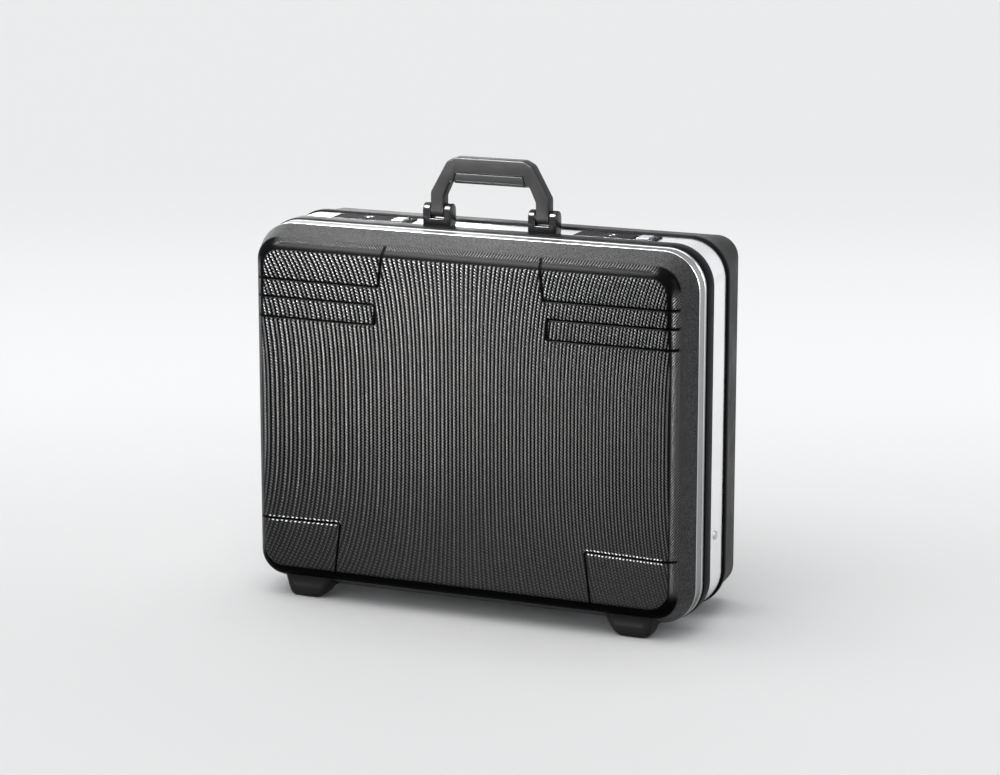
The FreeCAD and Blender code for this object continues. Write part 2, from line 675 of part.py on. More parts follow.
def add_shells(nodes):
    """Shells, frames, beads and seal."""
    nodes["front_shell"] = make_front_shell()
    nodes["rear_shell"] = make_rear_shell()
    nodes["lid_frame"] = make_lid_frame()
    nodes["base_frame"] = make_base_frame()
    bottom, around = sorted(make_lid_edge_bead().Solids, key=lambda solid: solid.Volume)
    nodes["lid_edge_bead"] = around
    nodes["lid_edge_bead_bottom"] = bottom
    nodes["base_edge_bead"] = ring(0.0, FRAME_SKIN, BASE_BEAD_FRONT, BASE_FRAME_REAR)
    nodes["lid_seal"] = ring(SKIN_INNER + 0.1, TONGUE_OUTER - 0.1, WEB_REAR, LID_FRAME_REAR)


def add_feet(nodes):
    """Four feet and their screws."""
    for front in (True, False):
        label = "front" if front else "rear"
        shell = "front_shell" if front else "rear_shell"
        solid = lid_shell_solid() if front else base_shell_solid()
        frame_y = (LID_FRAME_FRONT, LID_BEAD_FRONT) if front else (BASE_BEAD_FRONT, BASE_FRAME_REAR)
        screws = [foot_screw(side, front) for side in SIDES.values()]
        for name, side in SIDES.items():
            foot = make_foot(side, front).cut([solid, prism(FRAME_SKIN, *frame_y)] + screws)
            nodes[f"{label}_foot_{name}"] = foot
        nodes[shell] = nodes[shell].cut(screws)
        nodes[f"{label}_foot_screws"] = Part.makeCompound(screws)


def add_handle(nodes):
    """Handle, grip, brackets, pins and rivets."""
    body = make_handle_body()
    block = make_grip_block()
    nodes["handle_frame"] = body.cut(block)
    nodes["handle_grip"] = block
    rivets = []
    for name, side in SIDES.items():
        nodes[f"handle_bracket_{name}"] = make_bracket(side)
        rivets += [bracket_rivet(side, INNER_EAR), bracket_rivet(side, OUTER_EAR)]
    nodes["handle_pins"] = Part.makeCompound([handle_pin(side) for side in SIDES.values()])
    nodes["bracket_rivets"] = Part.makeCompound(rivets)
    nodes["base_frame"] = nodes["base_frame"].cut(rivets)


def add_locks(nodes):
    """Both locks and their strikers."""
    plate_rivets = []
    striker_rivets = []
    for name in LOCK_CENTRES:
        nodes[f"lock_plate_{name}"] = make_lock_plate(name)
        nodes[f"lock_slide_{name}"] = make_lock_slide(name)
        nodes[f"lock_cylinder_{name}"] = make_lock_cylinder(name)
        nodes[f"lock_case_{name}"] = make_lock_case(name)
        nodes[f"lock_hook_{name}"] = make_lock_hook(name)
        nodes[f"lock_striker_{name}"] = make_lock_striker(name)
        plate_rivets += lock_rivets(name)
        striker_rivets.append(striker_rivet(name))
        nodes["base_frame"] = nodes["base_frame"].cut([wall_slot(name), cylinder_hole(name)])
    nodes["base_frame"] = nodes["base_frame"].cut(plate_rivets)
    nodes["lid_frame"] = nodes["lid_frame"].cut(striker_rivets)
    nodes["lock_rivets"] = Part.makeCompound(plate_rivets)
    nodes["striker_rivets"] = Part.makeCompound(striker_rivets)


def add_hinges(nodes):
    """Two hinges, their pins and their rivets."""
    base_rivets = []
    lid_rivets = []
    for name, side in SIDES.items():
        nodes[f"hinge_base_leaf_{name}"] = make_hinge_leaf(side, True)
        nodes[f"hinge_lid_leaf_{name}"] = make_hinge_leaf(side, False)
        base_rivets += base_hinge_rivets(side)
        lid_rivets += lid_hinge_rivets(side)
    nodes["hinge_pins"] = Part.makeCompound([hinge_pin(side) for side in SIDES.values()])
    nodes["hinge_base_rivets"] = Part.makeCompound(base_rivets)
    nodes["hinge_lid_rivets"] = Part.makeCompound(lid_rivets)
    nodes["base_frame"] = nodes["base_frame"].cut(base_rivets)
    nodes["lid_frame"] = nodes["lid_frame"].cut(lid_rivets)
    nodes["front_shell"] = nodes["front_shell"].cut(lid_rivets)


def add_stays(nodes):
    """Two folding stays and their pivots."""
    base, elbow, lid = stay_pivots()
    tight = STAY_PIVOT_RADIUS
    loose = STAY_PIVOT_RADIUS + STAY_CLEARANCE
    for name, side in SIDES.items():
        nodes[f"stay_arm_{name}"] = make_stay_bar(side, (base, elbow), STAY_ARM_X, (loose, tight))
        nodes[f"stay_link_{name}"] = make_stay_bar(side, (elbow, lid), STAY_LINK_X, (loose, loose))
    base_rivets = [stay_base_rivet(side) for side in SIDES.values()]
    lid_rivets = [stay_lid_rivet(side) for side in SIDES.values()]
    nodes["stay_base_rivets"] = Part.makeCompound(base_rivets)
    nodes["stay_elbow_rivets"] = Part.makeCompound([stay_elbow_rivet(side) for side in SIDES.values()])
    nodes["stay_lid_rivets"] = Part.makeCompound(lid_rivets)
    nodes["base_frame"] = nodes["base_frame"].cut(base_rivets)
    nodes["lid_frame"] = nodes["lid_frame"].cut(lid_rivets)
    nodes["front_shell"] = nodes["front_shell"].cut(lid_rivets)


def build():
    """All nodes of the case, by name."""
    nodes = {}
    add_shells(nodes)
    add_feet(nodes)
    add_handle(nodes)
    add_locks(nodes)
    add_hinges(nodes)
    add_stays(nodes)
    return nodes


def main():
    """Write one STEP file per node."""
    os.makedirs("parts", exist_ok=True)
    for name, shape in build().items():
        solids = shape.Solids
        piece = solids[0] if len(solids) == 1 else Part.makeCompound(solids)
        piece.exportStep(f"parts/{name}.step")


main()
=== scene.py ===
"""Looks of the hard-shell attache case: smooth shells with grooves and grain, frames, beads, handle, feet."""
import json
import math

import bmesh
import bpy
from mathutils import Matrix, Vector

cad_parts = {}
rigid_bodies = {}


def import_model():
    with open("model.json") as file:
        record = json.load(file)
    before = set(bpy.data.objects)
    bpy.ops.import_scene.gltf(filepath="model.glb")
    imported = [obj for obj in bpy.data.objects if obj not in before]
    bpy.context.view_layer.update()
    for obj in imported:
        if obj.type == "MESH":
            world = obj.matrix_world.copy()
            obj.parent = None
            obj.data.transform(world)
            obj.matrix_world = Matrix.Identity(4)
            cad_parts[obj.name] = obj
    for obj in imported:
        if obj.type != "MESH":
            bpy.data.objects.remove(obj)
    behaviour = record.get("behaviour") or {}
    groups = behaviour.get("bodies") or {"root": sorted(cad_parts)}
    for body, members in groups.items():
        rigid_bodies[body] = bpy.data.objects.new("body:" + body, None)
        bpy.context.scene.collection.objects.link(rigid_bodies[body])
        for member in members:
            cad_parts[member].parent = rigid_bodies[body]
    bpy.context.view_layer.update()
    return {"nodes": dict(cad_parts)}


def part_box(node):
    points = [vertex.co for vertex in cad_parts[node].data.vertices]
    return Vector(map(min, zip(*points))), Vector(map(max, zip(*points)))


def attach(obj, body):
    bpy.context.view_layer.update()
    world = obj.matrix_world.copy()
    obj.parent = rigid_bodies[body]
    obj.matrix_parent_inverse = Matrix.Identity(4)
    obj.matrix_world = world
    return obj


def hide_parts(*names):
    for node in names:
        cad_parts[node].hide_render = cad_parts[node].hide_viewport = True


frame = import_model()

MM = 0.001

# Outline across the edge beads, as the frame gives it, and its corner radius
BEAD_LOW, BEAD_HIGH = [Vector(corner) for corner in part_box("base_edge_bead")]
HALF_WIDTH = BEAD_HIGH.x
HALF_HEIGHT = (BEAD_HIGH.z - BEAD_LOW.z) / 2
CENTRE_Z = (BEAD_HIGH.z + BEAD_LOW.z) / 2
CORNER = 41 * MM
CORNER_STEPS = 16
ROD_STEPS = 40

# Stations along Y
LID_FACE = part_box("front_shell")[0][1]
LID_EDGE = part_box("lid_frame")[0][1]
LID_RIM_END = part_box("front_shell")[1][1]
BASE_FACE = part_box("rear_shell")[1][1]
BASE_EDGE = BEAD_HIGH.y
BASE_RIM_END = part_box("rear_shell")[0][1]

# Shell section, as in the CAD
SHELL_THICKNESS = 3 * MM
SHELL_STEP = 2.5 * MM
RIM_OUTER = 4.25 * MM
RIM_INNER = 7.25 * MM
LID_WALL_DEPTH = 22 * MM
LID_WALL_INSETS = (12 * MM, 12.5 * MM)
LID_WALL_CORNER = 25 * MM
BASE_WALL_DEPTH = 52.4 * MM
BASE_WALL_INSETS = (11.5 * MM, 8 * MM)
BASE_WALL_CORNER = 22 * MM
ARC_STEPS = 14
CORNER_SHRINK = 0.7

# Grooves in the lid's face: half width, depth, where they are scored and how they fade at the wall
GROOVE_HALF_WIDTH = 1.9 * MM
GROOVE_DEPTH = 1.4 * MM
THIN_HALF_WIDTH = 1.5 * MM
THIN_DEPTH = 1.1 * MM
GROOVE_CUTS = (-1.0, -0.6, -0.25, 0.25, 0.6, 1.0)
GROOVE_FADE_INSET = (12 * MM, 15 * MM)
GROOVE_BEND = 2 * MM
GROOVE_ROUNDING = 0.6

# Upper blocks and bars: inner ends across X, and drops of their grooves below the top
BLOCK_INNER = (83.5 * MM, 88.5 * MM)
BAR_INNER = 92.5 * MM
GROOVE_DROPS = (54.4 * MM, 72.5 * MM, 93 * MM)

# Lower patches: inner end of the top groove, its rise at the wall, the foot of the upright groove,
# and the painted highlight along the groove's lips: distance, softness and where it begins
PATCH_START = (133 * MM, 75.5 * MM)
PATCH_END_RISE = 73.5 * MM
PATCH_FOOT = 141 * MM
LIP_DISTANCE = 2.1 * MM
LIP_SOFTNESS = (0.2 * MM, 0.9 * MM)
LIP_BEGINS = 1 * MM

# Rope-like relief of the lid's face: pitch across and along, fan, lean, and what of it is painted lit
ROPE_PITCH = (4.14 * MM, 3.1 * MM)
ROPE_FAN = 42 * MM
ROPE_BIAS = 0.25
ROPE_TIGHTENING = 0.44
ROPE_OFFSET = 0.37
ROPE_LEAN = 0.8
ROPE_WAVER = 0.11
ROPE_DEPTH = 0.35
ROPE_HEIGHT = 1.8 * MM
CREST_SPAN = (0.10, 0.31)
STRAND_LIT = (0.0, 0.7, 0.35, 1.0)

# Towards the bottom the relief is lower and its painted light weaker: its height, painted lit share and the
# least painted light in its pits there
LOW_HEIGHT = 0.5
LOW_LIT = 0.48
LOW_GAP = 0.18

# Edge of the lid's face, as depths behind it: a plain band, smooth and painted near black as a dark
# reflection, then a ridge of slanted strands with painted light on them.
# The band is wider along the top, and the relief reaches further back along the sides. The strands fade out
# at the corners and towards the bottom, where the edge is left painted dark as shade.
PLAIN_BAND = (0.4 * MM, 0.9 * MM, 1.9 * MM, 3.6 * MM)
TOP_SHIFT = 2.2 * MM
SIDE_SHIFT = 1.5 * MM
SIDE_FADE = (0.3, 0.75)
STRAND_PITCH = 3.1 * MM
STRAND_SLANT = 7 * MM
STRAND_HEIGHT = 0.5
RIDGE_CORNER = (45 * MM, 31.5 * MM)
RIDGE_BOTTOM = (22.5 * MM, 45 * MM)
RIDGE_WALL = (8.5 * MM, 11 * MM)

# Colours of the lid's face: pits painted near black as shade, crests in the plastic's own tones, and a
# painted highlight along the lower grooves' lips
PIT_PAINTED_SHADE = (0.0008, 0.0008, 0.0009)
CREST_DARK = (0.026, 0.026, 0.0265)
CREST_PALE = (0.036, 0.036, 0.0365)
LIP_GLINT = (0.55, 0.55, 0.55)

# Frame sections: insets of the skin and the inside, and the chamfer of the front edge. The lid's frame
# has a raised line in front of the bead, a channel and a web; the base's frame has a lip and a rib.
FRAME_SKIN = 2.0 * MM
FRAME_INSIDE = 4.2 * MM
FRAME_EDGE = 0.5 * MM
LID_LINE = (5 * MM, 4.2 * MM, 1.1 * MM, 0.4 * MM)
LID_LINE_HEIGHT = 0.7 * MM
LID_STEP_INSET = 5.0 * MM
LID_STEP_DEPTH = 13.4 * MM
LID_WEB_INSET = 6.8 * MM
LID_WEB_START = 25 * MM
BASE_LIP = (0.3 * MM, 1.6 * MM, 2.2 * MM)
BASE_LIP_HEIGHT = 0.35 * MM
BASE_RIB = (1 * MM, 3.5 * MM)
BASE_RIB_INSET = 8 * MM

# Openings of the locks in the base frame
SLIDE_TRAVEL = 5 * MM
SLOT_HALF_WIDTH = 2.9 * MM
SLOT_MARGINS = (3 * MM, 2 * MM)
BARREL_HOLE = 4.2 * MM
CUT_BELOW = 10 * MM
CUT_ABOVE = 5 * MM

# Handle: its shoulders and top, the inside of its legs with the throat beside the grip, grip and pins
SHOULDER_RISE = 19 * MM
SHOULDER = (18 * MM, 4.5 * MM)
HANDLE_TOP_INSET = 27 * MM
LEG_INSIDE = 50 * MM
LEG_BEND_Z = 414.5 * MM
THROAT = (43.2 * MM, 429 * MM)
GRIP_SLANT = 3 * MM
GRIP_SEAM = 0.35 * MM
GRIP_REVEAL = 0.8 * MM
OUTER_BEND = 9 * MM
INNER_BEND = 8 * MM
GRIP_BEND = 2 * MM
PIN_BORE = 2.58 * MM
BORE_SPAN = (40 * MM, 75 * MM)

# Brackets: widths of the ears inside and outside the handle's leg, and the height of the fork's floor
INNER_EAR = 7.5 * MM
OUTER_EAR = 7.9 * MM
FORK_FLOOR = 7.6 * MM
DOME_STEPS = 16

# Feet, in millimetres: height (None follows the shell), inset towards the middle, outwards and in Y
FOOT_LEVELS = (
    (0.0, 17.0, 9.5, 5.0), (0.7, 14.5, 7.5, 3.2), (2.2, 12.0, 6.0, 2.0), (5.0, 9.0, 4.5, 1.2),
    (10.0, 5.5, 3.0, 0.7), (None, 0.0, 0.0, 0.0),
)
FOOT_CORNER = 6 * MM
FOOT_SINK = 0.6 * MM
PANEL_BORDER = 2 * MM
PANEL_SLOPE = 1 * MM
PANEL_DEPTH = 0.6 * MM

# Camera of the photograph's view
AZIMUTH = math.radians(23.52)
ELEVATION = math.radians(12.63)
CAMERA_DISTANCE = 3.235
LENS = 115.2
SENSOR = 36.0
TARGET = Vector((0.004, 0.0, 0.220))

# Plastics: colour, roughness, size and depth of the grain in millimetres, and specular level
PLASTICS = {
    "shell_inside": ((0.03, 0.03, 0.032), 0.55, 0.8, 0.05, 0.5),
    "foot_plastic": ((0.003, 0.003, 0.0032), 0.45, 0.6, 0.03, 0.2),
    "handle_plastic": ((0.005, 0.005, 0.0053), 0.42, 0.9, 0.07, 0.22),
    "grip_plastic": ((0.005, 0.005, 0.0053), 0.46, 0.9, 0.07, 0.2),
    "bracket_plastic": ((0.002, 0.002, 0.0022), 0.2, 2.0, 0.004, 0.3),
    "bead_plastic": ((0.0015, 0.0015, 0.0016), 0.3, 0.7, 0.01, 0.02),
    "button_plastic": ((0.10, 0.10, 0.11), 0.4, 0.4, 0.02, 0.5),
    "seal_rubber": ((0.02, 0.02, 0.02), 0.7, 0.5, 0.03, 0.5),
}

# Metals: colour, roughness, streaks per metre along X, Y and Z, and the light kept at grazing views
METALS = {
    # The lid's frame is the base's aluminium drawn darker and with less light at grazing views: painted shade
    "lid_aluminium_painted_shade": ((0.52, 0.525, 0.53), 0.26, (6, 400, 6), 0.35),
    "base_aluminium": ((0.93, 0.935, 0.94), 0.2, (6, 400, 6), 1.0),
    "zinc_steel": ((0.56, 0.56, 0.58), 0.34, (60, 3000, 60), 1.0),
    "polished_chrome": ((0.32, 0.32, 0.33), 0.2, (500, 500, 500), 0.3),
    "lock_plate_metal": ((0.10, 0.10, 0.105), 0.36, (20, 6000, 20), 0.1),
}

# Soft lights on the case alone: place, the point they face, size, power and spread in degrees
AREA_LIGHTS = {
    "key": ((-0.35, -0.55, 1.0), (-0.05, -0.09, 0.42), (0.5, 0.35), 9.5, 50),
    "top": ((0.0, -0.25, 1.1), (0.0, -0.05, 0.3), (1.0, 0.3), 1.5, 180),
    "side": ((1.27, -0.59, 0.75), (0.0, 0.0, 0.25), (0.25, 0.9), 18, 180),
    "back": ((-0.62, 0.85, 0.67), (-0.2, -0.05, 0.455), (0.45, 0.5), 1.8, 180),
}
SUN_POWER = 1.9
SUN_ANGLE = 75
SUN_TILT = (12, -10, 0)

# Brightness of the studio by the sine of the elevation
WORLD_LOW = 0.25
WORLD_HIGH = 0.75
WORLD_HORIZON = 0.95
WORLD_ZENITH = 0.3

# Colours of the paper floor, and how far behind the case its whiter band of painted light begins, peaks and
# ends
PAPER = (0.80, 0.80, 0.80)
PAPER_PAINTED_LIGHT = (0.925, 0.925, 0.925)
PAINTED_LIGHT_BAND = (0.0, 1.0, 2.9)


# ---------------- node graphs

def opaque(colour):
    """A plain colour with full alpha; a socket stays as it is."""
    return (*colour, 1.0) if isinstance(colour, tuple) else colour


class Graph:
    """Short way to write a material's nodes."""

    def __init__(self, name):
        self.material = bpy.data.materials.new(name)
        self.material.use_nodes = True
        self.tree = self.material.node_tree
        self.shader = self.tree.nodes["Principled BSDF"]
        self.coords = self.add("ShaderNodeTexCoord").outputs["Object"]

    def add(self, kind, **settings):
        """New node with some properties set."""
        node = self.tree.nodes.new(kind)
        for key, value in settings.items():
            setattr(node, key, value)
        return node

    def plug(self, value, socket):
        """Link a socket, or set a plain value."""
        if isinstance(value, bpy.types.NodeSocket):
            self.tree.links.new(value, socket)
        elif value is not None:
            socket.default_value = value

    def math(self, operation, a, b=None, c=None):
        """Math node's result."""
        node = self.add("ShaderNodeMath", operation=operation)
        for value, socket in zip((a, b, c), node.inputs):
            self.plug(value, socket)
        return node.outputs[0]

    def axes(self):
        """Object X, Y and Z in metres."""
        split = self.add("ShaderNodeSeparateXYZ")
        self.plug(self.coords, split.inputs[0])
        return split.outputs

    def stretched(self, scale):
        """Object coordinates scaled along each axis."""
        mapping = self.add("ShaderNodeMapping")
        self.plug(self.coords, mapping.inputs["Vector"])
        mapping.inputs["Scale"].default_value = scale
        return mapping.outputs[0]

    def noise(self, size, detail, vector=None):
        """Noise whose features are about size metres across."""
        node = self.add("ShaderNodeTexNoise")
        self.plug(vector or self.coords, node.inputs["Vector"])
        node.inputs["Scale"].default_value = 1 / size
        node.inputs["Detail"].default_value = detail
        return node.outputs["Fac"]

    def cells(self, size):
        """Distance to the nearest point of a random cell pattern."""
        node = self.add("ShaderNodeTexVoronoi")
        self.plug(self.coords, node.inputs["Vector"])
        node.inputs["Scale"].default_value = 1 / size
        return node.outputs["Distance"]

    def remap(self, value, low, high, to_low, to_high):
        """Smooth change from one range of values to another."""
        node = self.add("ShaderNodeMapRange", interpolation_type="SMOOTHSTEP")
        for item, socket in zip((value, low, high, to_low, to_high), node.inputs):
            self.plug(item, socket)
        return node.outputs[0]

    def blend(self, share, a, b):
        """Colour between a and b."""
        node = self.add("ShaderNodeMix", data_type="RGBA")
        factor, first, second = node.inputs[0], node.inputs[6], node.inputs[7]
        self.plug(share, factor)
        self.plug(opaque(a), first)
        self.plug(opaque(b), second)
        return node.outputs[2]

    def wave(self, turns):
        """Cosine of a number of turns, between 0 and 1."""
        cosine = self.math("COSINE", self.math("MULTIPLY", turns, 2 * math.pi))
        return self.math("MULTIPLY_ADD", cosine, 0.5, 0.5)

    def bump(self, height, distance, normal=None):
        """Normal bent by a height of 0 to 1 times the distance in metres."""
        node = self.add("ShaderNodeBump")
        self.plug(height, node.inputs["Height"])
        node.inputs["Distance"].default_value = distance
        self.plug(normal, node.inputs["Normal"])
        return node.outputs[0]

    def soft_edges(self, radius):
        """Normal rounded at the edges, and a mask that is 1 on them."""
        bevel = self.add("ShaderNodeBevel", samples=4)
        bevel.inputs["Radius"].default_value = radius
        geometry = self.add("ShaderNodeNewGeometry")
        dot = self.add("ShaderNodeVectorMath", operation="DOT_PRODUCT")
        self.plug(bevel.outputs[0], dot.inputs[0])
        self.plug(geometry.outputs["Normal"], dot.inputs[1])
        return bevel.outputs[0], self.remap(dot.outputs["Value"], 0.75, 0.99, 1.0, 0.0)

    def finish(self, colour, roughness, normal, metallic=0.0):
        """Connect the shader and give the material."""
        self.plug(opaque(colour), self.shader.inputs["Base Color"])
        self.plug(roughness, self.shader.inputs["Roughness"])
        self.plug(normal, self.shader.inputs["Normal"])
        self.shader.inputs["Metallic"].default_value = metallic
        return self.material


# ---------------- materials

def plastic(name):
    """Moulded plastic: fine grain, uneven sheen and slightly paler edges in patches."""
    colour, roughness, grain, grain_depth, specular = PLASTICS[name]
    g = Graph(name)
    soft, edges = g.soft_edges(0.4 * MM)
    grain_height = g.math("ADD", g.noise(grain * MM, 3.0), g.cells(1.7 * grain * MM))
    patches = g.noise(30 * MM, 3.0)
    g.shader.inputs["Specular IOR Level"].default_value = specular
    pale_edge = tuple(min(1.0, value * 2.2 + 0.004) for value in colour)
    dark = tuple(value * 0.75 for value in colour)
    pale = tuple(value * 1.25 for value in colour)
    body = g.blend(patches, dark, pale)
    mixed = g.blend(g.math("MULTIPLY", edges, g.noise(6 * MM, 3.0)), body, pale_edge)
    rough = g.remap(patches, 0.3, 0.7, roughness - 0.05, roughness + 0.06)
    return g.finish(mixed, rough, g.bump(grain_height, grain_depth * MM, soft))


def metal(name):
    """Drawn or rolled metal: fine streaks, faint patches and brighter edges."""
    colour, roughness, streaks, grazing = METALS[name]
    g = Graph(name)
    g.shader.inputs["Specular Tint"].default_value = (grazing, grazing, grazing, 1.0)
    soft, edges = g.soft_edges(0.25 * MM)
    lines = g.noise(1.0, 4.0, g.stretched(streaks))
    patches = g.noise(25 * MM, 4.0)
    dull = tuple(value * 0.95 for value in colour)
    bright = tuple(min(1.0, value * 1.12) for value in colour)
    body = g.blend(g.remap(patches, 0.35, 0.7, 0.0, 1.0), dull, colour)
    mixed = g.blend(edges, body, bright)
    streaked = g.remap(lines, 0.3, 0.7, roughness - 0.06, roughness + 0.07)
    rough = g.math("ADD", streaked, g.remap(patches, 0.3, 0.7, -0.005, 0.005))
    return g.finish(mixed, rough, g.bump(lines, 0.01 * MM, soft), 1.0)


def rope_relief(g):
    """Height of twisted columns that fan out towards the top and bottom, and the mask of painted light on
    their crests.
    """
    x, _, z = g.axes()
    up = g.math("ABSOLUTE", g.math("DIVIDE", g.math("SUBTRACT", z, CENTRE_Z), HALF_HEIGHT))
    bow = g.math("SINE", g.math("MULTIPLY", x, math.pi / 2 / HALF_WIDTH))
    bow = g.math("MULTIPLY", bow, g.math("MULTIPLY_ADD", bow, -ROPE_BIAS, 1.0))
    place = g.math("MULTIPLY_ADD", g.math("MULTIPLY", bow, g.math("POWER", up, 3.0)), -ROPE_FAN, x)
    closer = g.math("MULTIPLY_ADD", place, ROPE_TIGHTENING, 1.0)
    rise = g.math("DIVIDE", z, ROPE_PITCH[1])
    waver = g.math("MULTIPLY", g.math("SINE", g.math("MULTIPLY", rise, 2 * math.pi)), ROPE_WAVER)
    column = g.math("ADD", g.math("DIVIDE", g.math("MULTIPLY", place, closer), ROPE_PITCH[0]), waver)
    across = g.math("SUBTRACT", g.math("FRACT", column), 0.5)
    rounded = g.math("SQRT", g.math("COSINE", g.math("MULTIPLY", across, math.pi)))
    offset = g.math("MULTIPLY", g.math("FLOOR", column), ROPE_OFFSET)
    along = g.math("ADD", rise, g.math("MULTIPLY_ADD", across, ROPE_LEAN, offset))
    strand = g.wave(along)
    height = g.math("MULTIPLY", rounded, g.math("MULTIPLY_ADD", strand, ROPE_DEPTH, 1.0 - ROPE_DEPTH))
    # Painted light on the middle of each column and along each strand's crest; the rest is left to painted
    # shade
    crest = g.remap(g.math("ABSOLUTE", across), *CREST_SPAN, 1.0, 0.0)
    lit = g.math("MULTIPLY", crest, g.remap(strand, *STRAND_LIT))
    return height, lit


def near_edge(g, place, half_size, inside, outside):
    """Smooth change from one value to another where a place comes near an edge of the face."""
    away = g.math("ABSOLUTE", place)
    return g.remap(away, half_size - RIDGE_CORNER[0], half_size - RIDGE_CORNER[1], inside, outside)


def ridge_relief(g, depth):
    """Slanted strands round the face, where they show (not at the corners, nor near the bottom, which is left
    painted dark as shade) and how far back the face's relief reaches.
    """
    x, _, z = g.axes()
    rise = g.math("SUBTRACT", z, CENTRE_Z)
    turned = g.math("MULTIPLY", rise, g.math("SIGN", x))
    around = g.math("DIVIDE", g.math("SUBTRACT", x, turned), STRAND_PITCH)
    strand = g.wave(g.math("ADD", around, g.math("DIVIDE", depth, STRAND_SLANT)))
    near_x = near_edge(g, x, HALF_WIDTH, 0.0, 1.0)
    near_z = near_edge(g, rise, HALF_HEIGHT, 0.0, 1.0)
    corner = g.math("MULTIPLY", near_x, near_z)
    above = g.remap(rise, RIDGE_BOTTOM[0] - HALF_HEIGHT, RIDGE_BOTTOM[1] - HALF_HEIGHT, 0.0, 1.0)
    below_top = g.remap(rise, SIDE_FADE[0] * HALF_HEIGHT, SIDE_FADE[1] * HALF_HEIGHT, SIDE_SHIFT, 0.0)
    seen = g.math("MULTIPLY", above, g.math("SUBTRACT", 1.0, corner))
    return strand, seen, g.math("MULTIPLY", above, below_top)


def lip_highlight_mask(g):
    """Mask of a painted highlight, 1 along both lips of the lower patches' top grooves."""
    x, _, z = g.axes()
    beyond = g.math("SUBTRACT", g.math("ABSOLUTE", x), PATCH_START[0])
    slope = (PATCH_END_RISE - PATCH_START[1]) / (HALF_WIDTH - GROOVE_FADE_INSET[0] - PATCH_START[0])
    line = g.math("MULTIPLY_ADD", beyond, slope, CENTRE_Z - HALF_HEIGHT + PATCH_START[1])
    from_line = g.math("ABSOLUTE", g.math("SUBTRACT", z, line))
    from_lip = g.math("ABSOLUTE", g.math("SUBTRACT", from_line, LIP_DISTANCE))
    on_lip = g.remap(from_lip, *LIP_SOFTNESS, 1.0, 0.0)
    return g.math("MULTIPLY", on_lip, g.remap(beyond, 0.0, LIP_BEGINS, 0.0, 1.0))


def face_masks(g, depth, plain):
    """Where the face's own relief shows and where the ridge round it does, and the ridge's strands."""
    inner, first, last, outer = PLAIN_BAND
    strand, ridge, reach = ridge_relief(g, depth)
    # Between the face's relief and the ridge lies the plain band, painted near black as a dark reflection
    flat = g.math("MULTIPLY", g.remap(g.math("SUBTRACT", depth, reach), inner, first, 1.0, 0.0), plain)
    wider = near_edge(g, g.axes()[0], HALF_WIDTH, TOP_SHIFT, 0.0)
    starts = g.remap(g.math("SUBTRACT", depth, wider), last, outer, 0.0, 1.0)
    band = g.math("MULTIPLY", starts, g.remap(depth, *RIDGE_WALL, 1.0, 0.0))
    return flat, g.math("MULTIPLY", g.math("MULTIPLY", band, ridge), plain), strand


def front_shell_material():
    """Black moulding with a rope-like relief on its face and a fine grain on its walls."""
    g = Graph("lid_moulding")
    depth = g.math("SUBTRACT", g.axes()[1], LID_FACE)
    # Grooves lose the face's relief and are painted near black as shade
    groove = g.add("ShaderNodeAttribute", attribute_name="groove").outputs["Fac"]
    flat, edge, strand = face_masks(g, depth, g.math("SUBTRACT", 1.0, groove))
    height, lit = rope_relief(g)
    upper = g.remap(g.axes()[2], CENTRE_Z - HALF_HEIGHT, CENTRE_Z, 0.0, 1.0)
    height = g.math("MULTIPLY", height, g.math("MULTIPLY_ADD", upper, 1.0 - LOW_HEIGHT, LOW_HEIGHT))
    # Painted light on the crests weakens towards the bottom, and the pits there are painted less dark
    gap = g.math("MULTIPLY_ADD", upper, -LOW_GAP, LOW_GAP)
    on_face = g.remap(depth, 0.0, 0.5 * MM, 1.0, 0.0)
    # Painted highlight along the lips of the lower patches' top grooves, on the face only
    glint = g.math("MULTIPLY", g.math("MULTIPLY", lip_highlight_mask(g), lit), on_face)
    weaker = g.math("MULTIPLY_ADD", upper, 1.0 - LOW_LIT, LOW_LIT)
    lit = g.math("MAXIMUM", g.math("MULTIPLY", lit, weaker), gap)
    raised = g.math("MULTIPLY", g.math("MULTIPLY", strand, edge), STRAND_HEIGHT)
    relief = g.math("ADD", g.math("MULTIPLY", height, flat), raised)
    fine = g.noise(0.8 * MM, 3.0)
    wall = g.remap(depth, *RIDGE_WALL, 0.0, 1.0)
    mottled = g.math("MULTIPLY", wall, g.remap(g.noise(1.3 * MM, 3.0), 0.35, 0.65, 0.2, 0.6))
    strands = g.math("MULTIPLY", edge, g.remap(strand, 0.3, 1.0, 0.05, 1.0))
    # Crest colour where painted light falls on crests and strands, mixed into the walls by their mottle; pits
    # and grooves are painted near black as shade, the band round the face as a dark reflection
    shown = g.math("MAXIMUM", g.math("MULTIPLY", lit, flat), g.math("MAXIMUM", strands, mottled))
    crest = g.blend(g.noise(40 * MM, 3.0), CREST_DARK, CREST_PALE)
    colour = g.blend(glint, g.blend(shown, PIT_PAINTED_SHADE, crest), LIP_GLINT)
    g.plug(g.math("MULTIPLY_ADD", shown, 0.5, 0.01), g.shader.inputs["Specular IOR Level"])
    rough = g.remap(fine, 0.3, 0.7, 0.25, 0.35)
    normal = g.bump(relief, ROPE_HEIGHT, g.bump(fine, 0.05 * MM))
    return g.finish(colour, rough, normal)


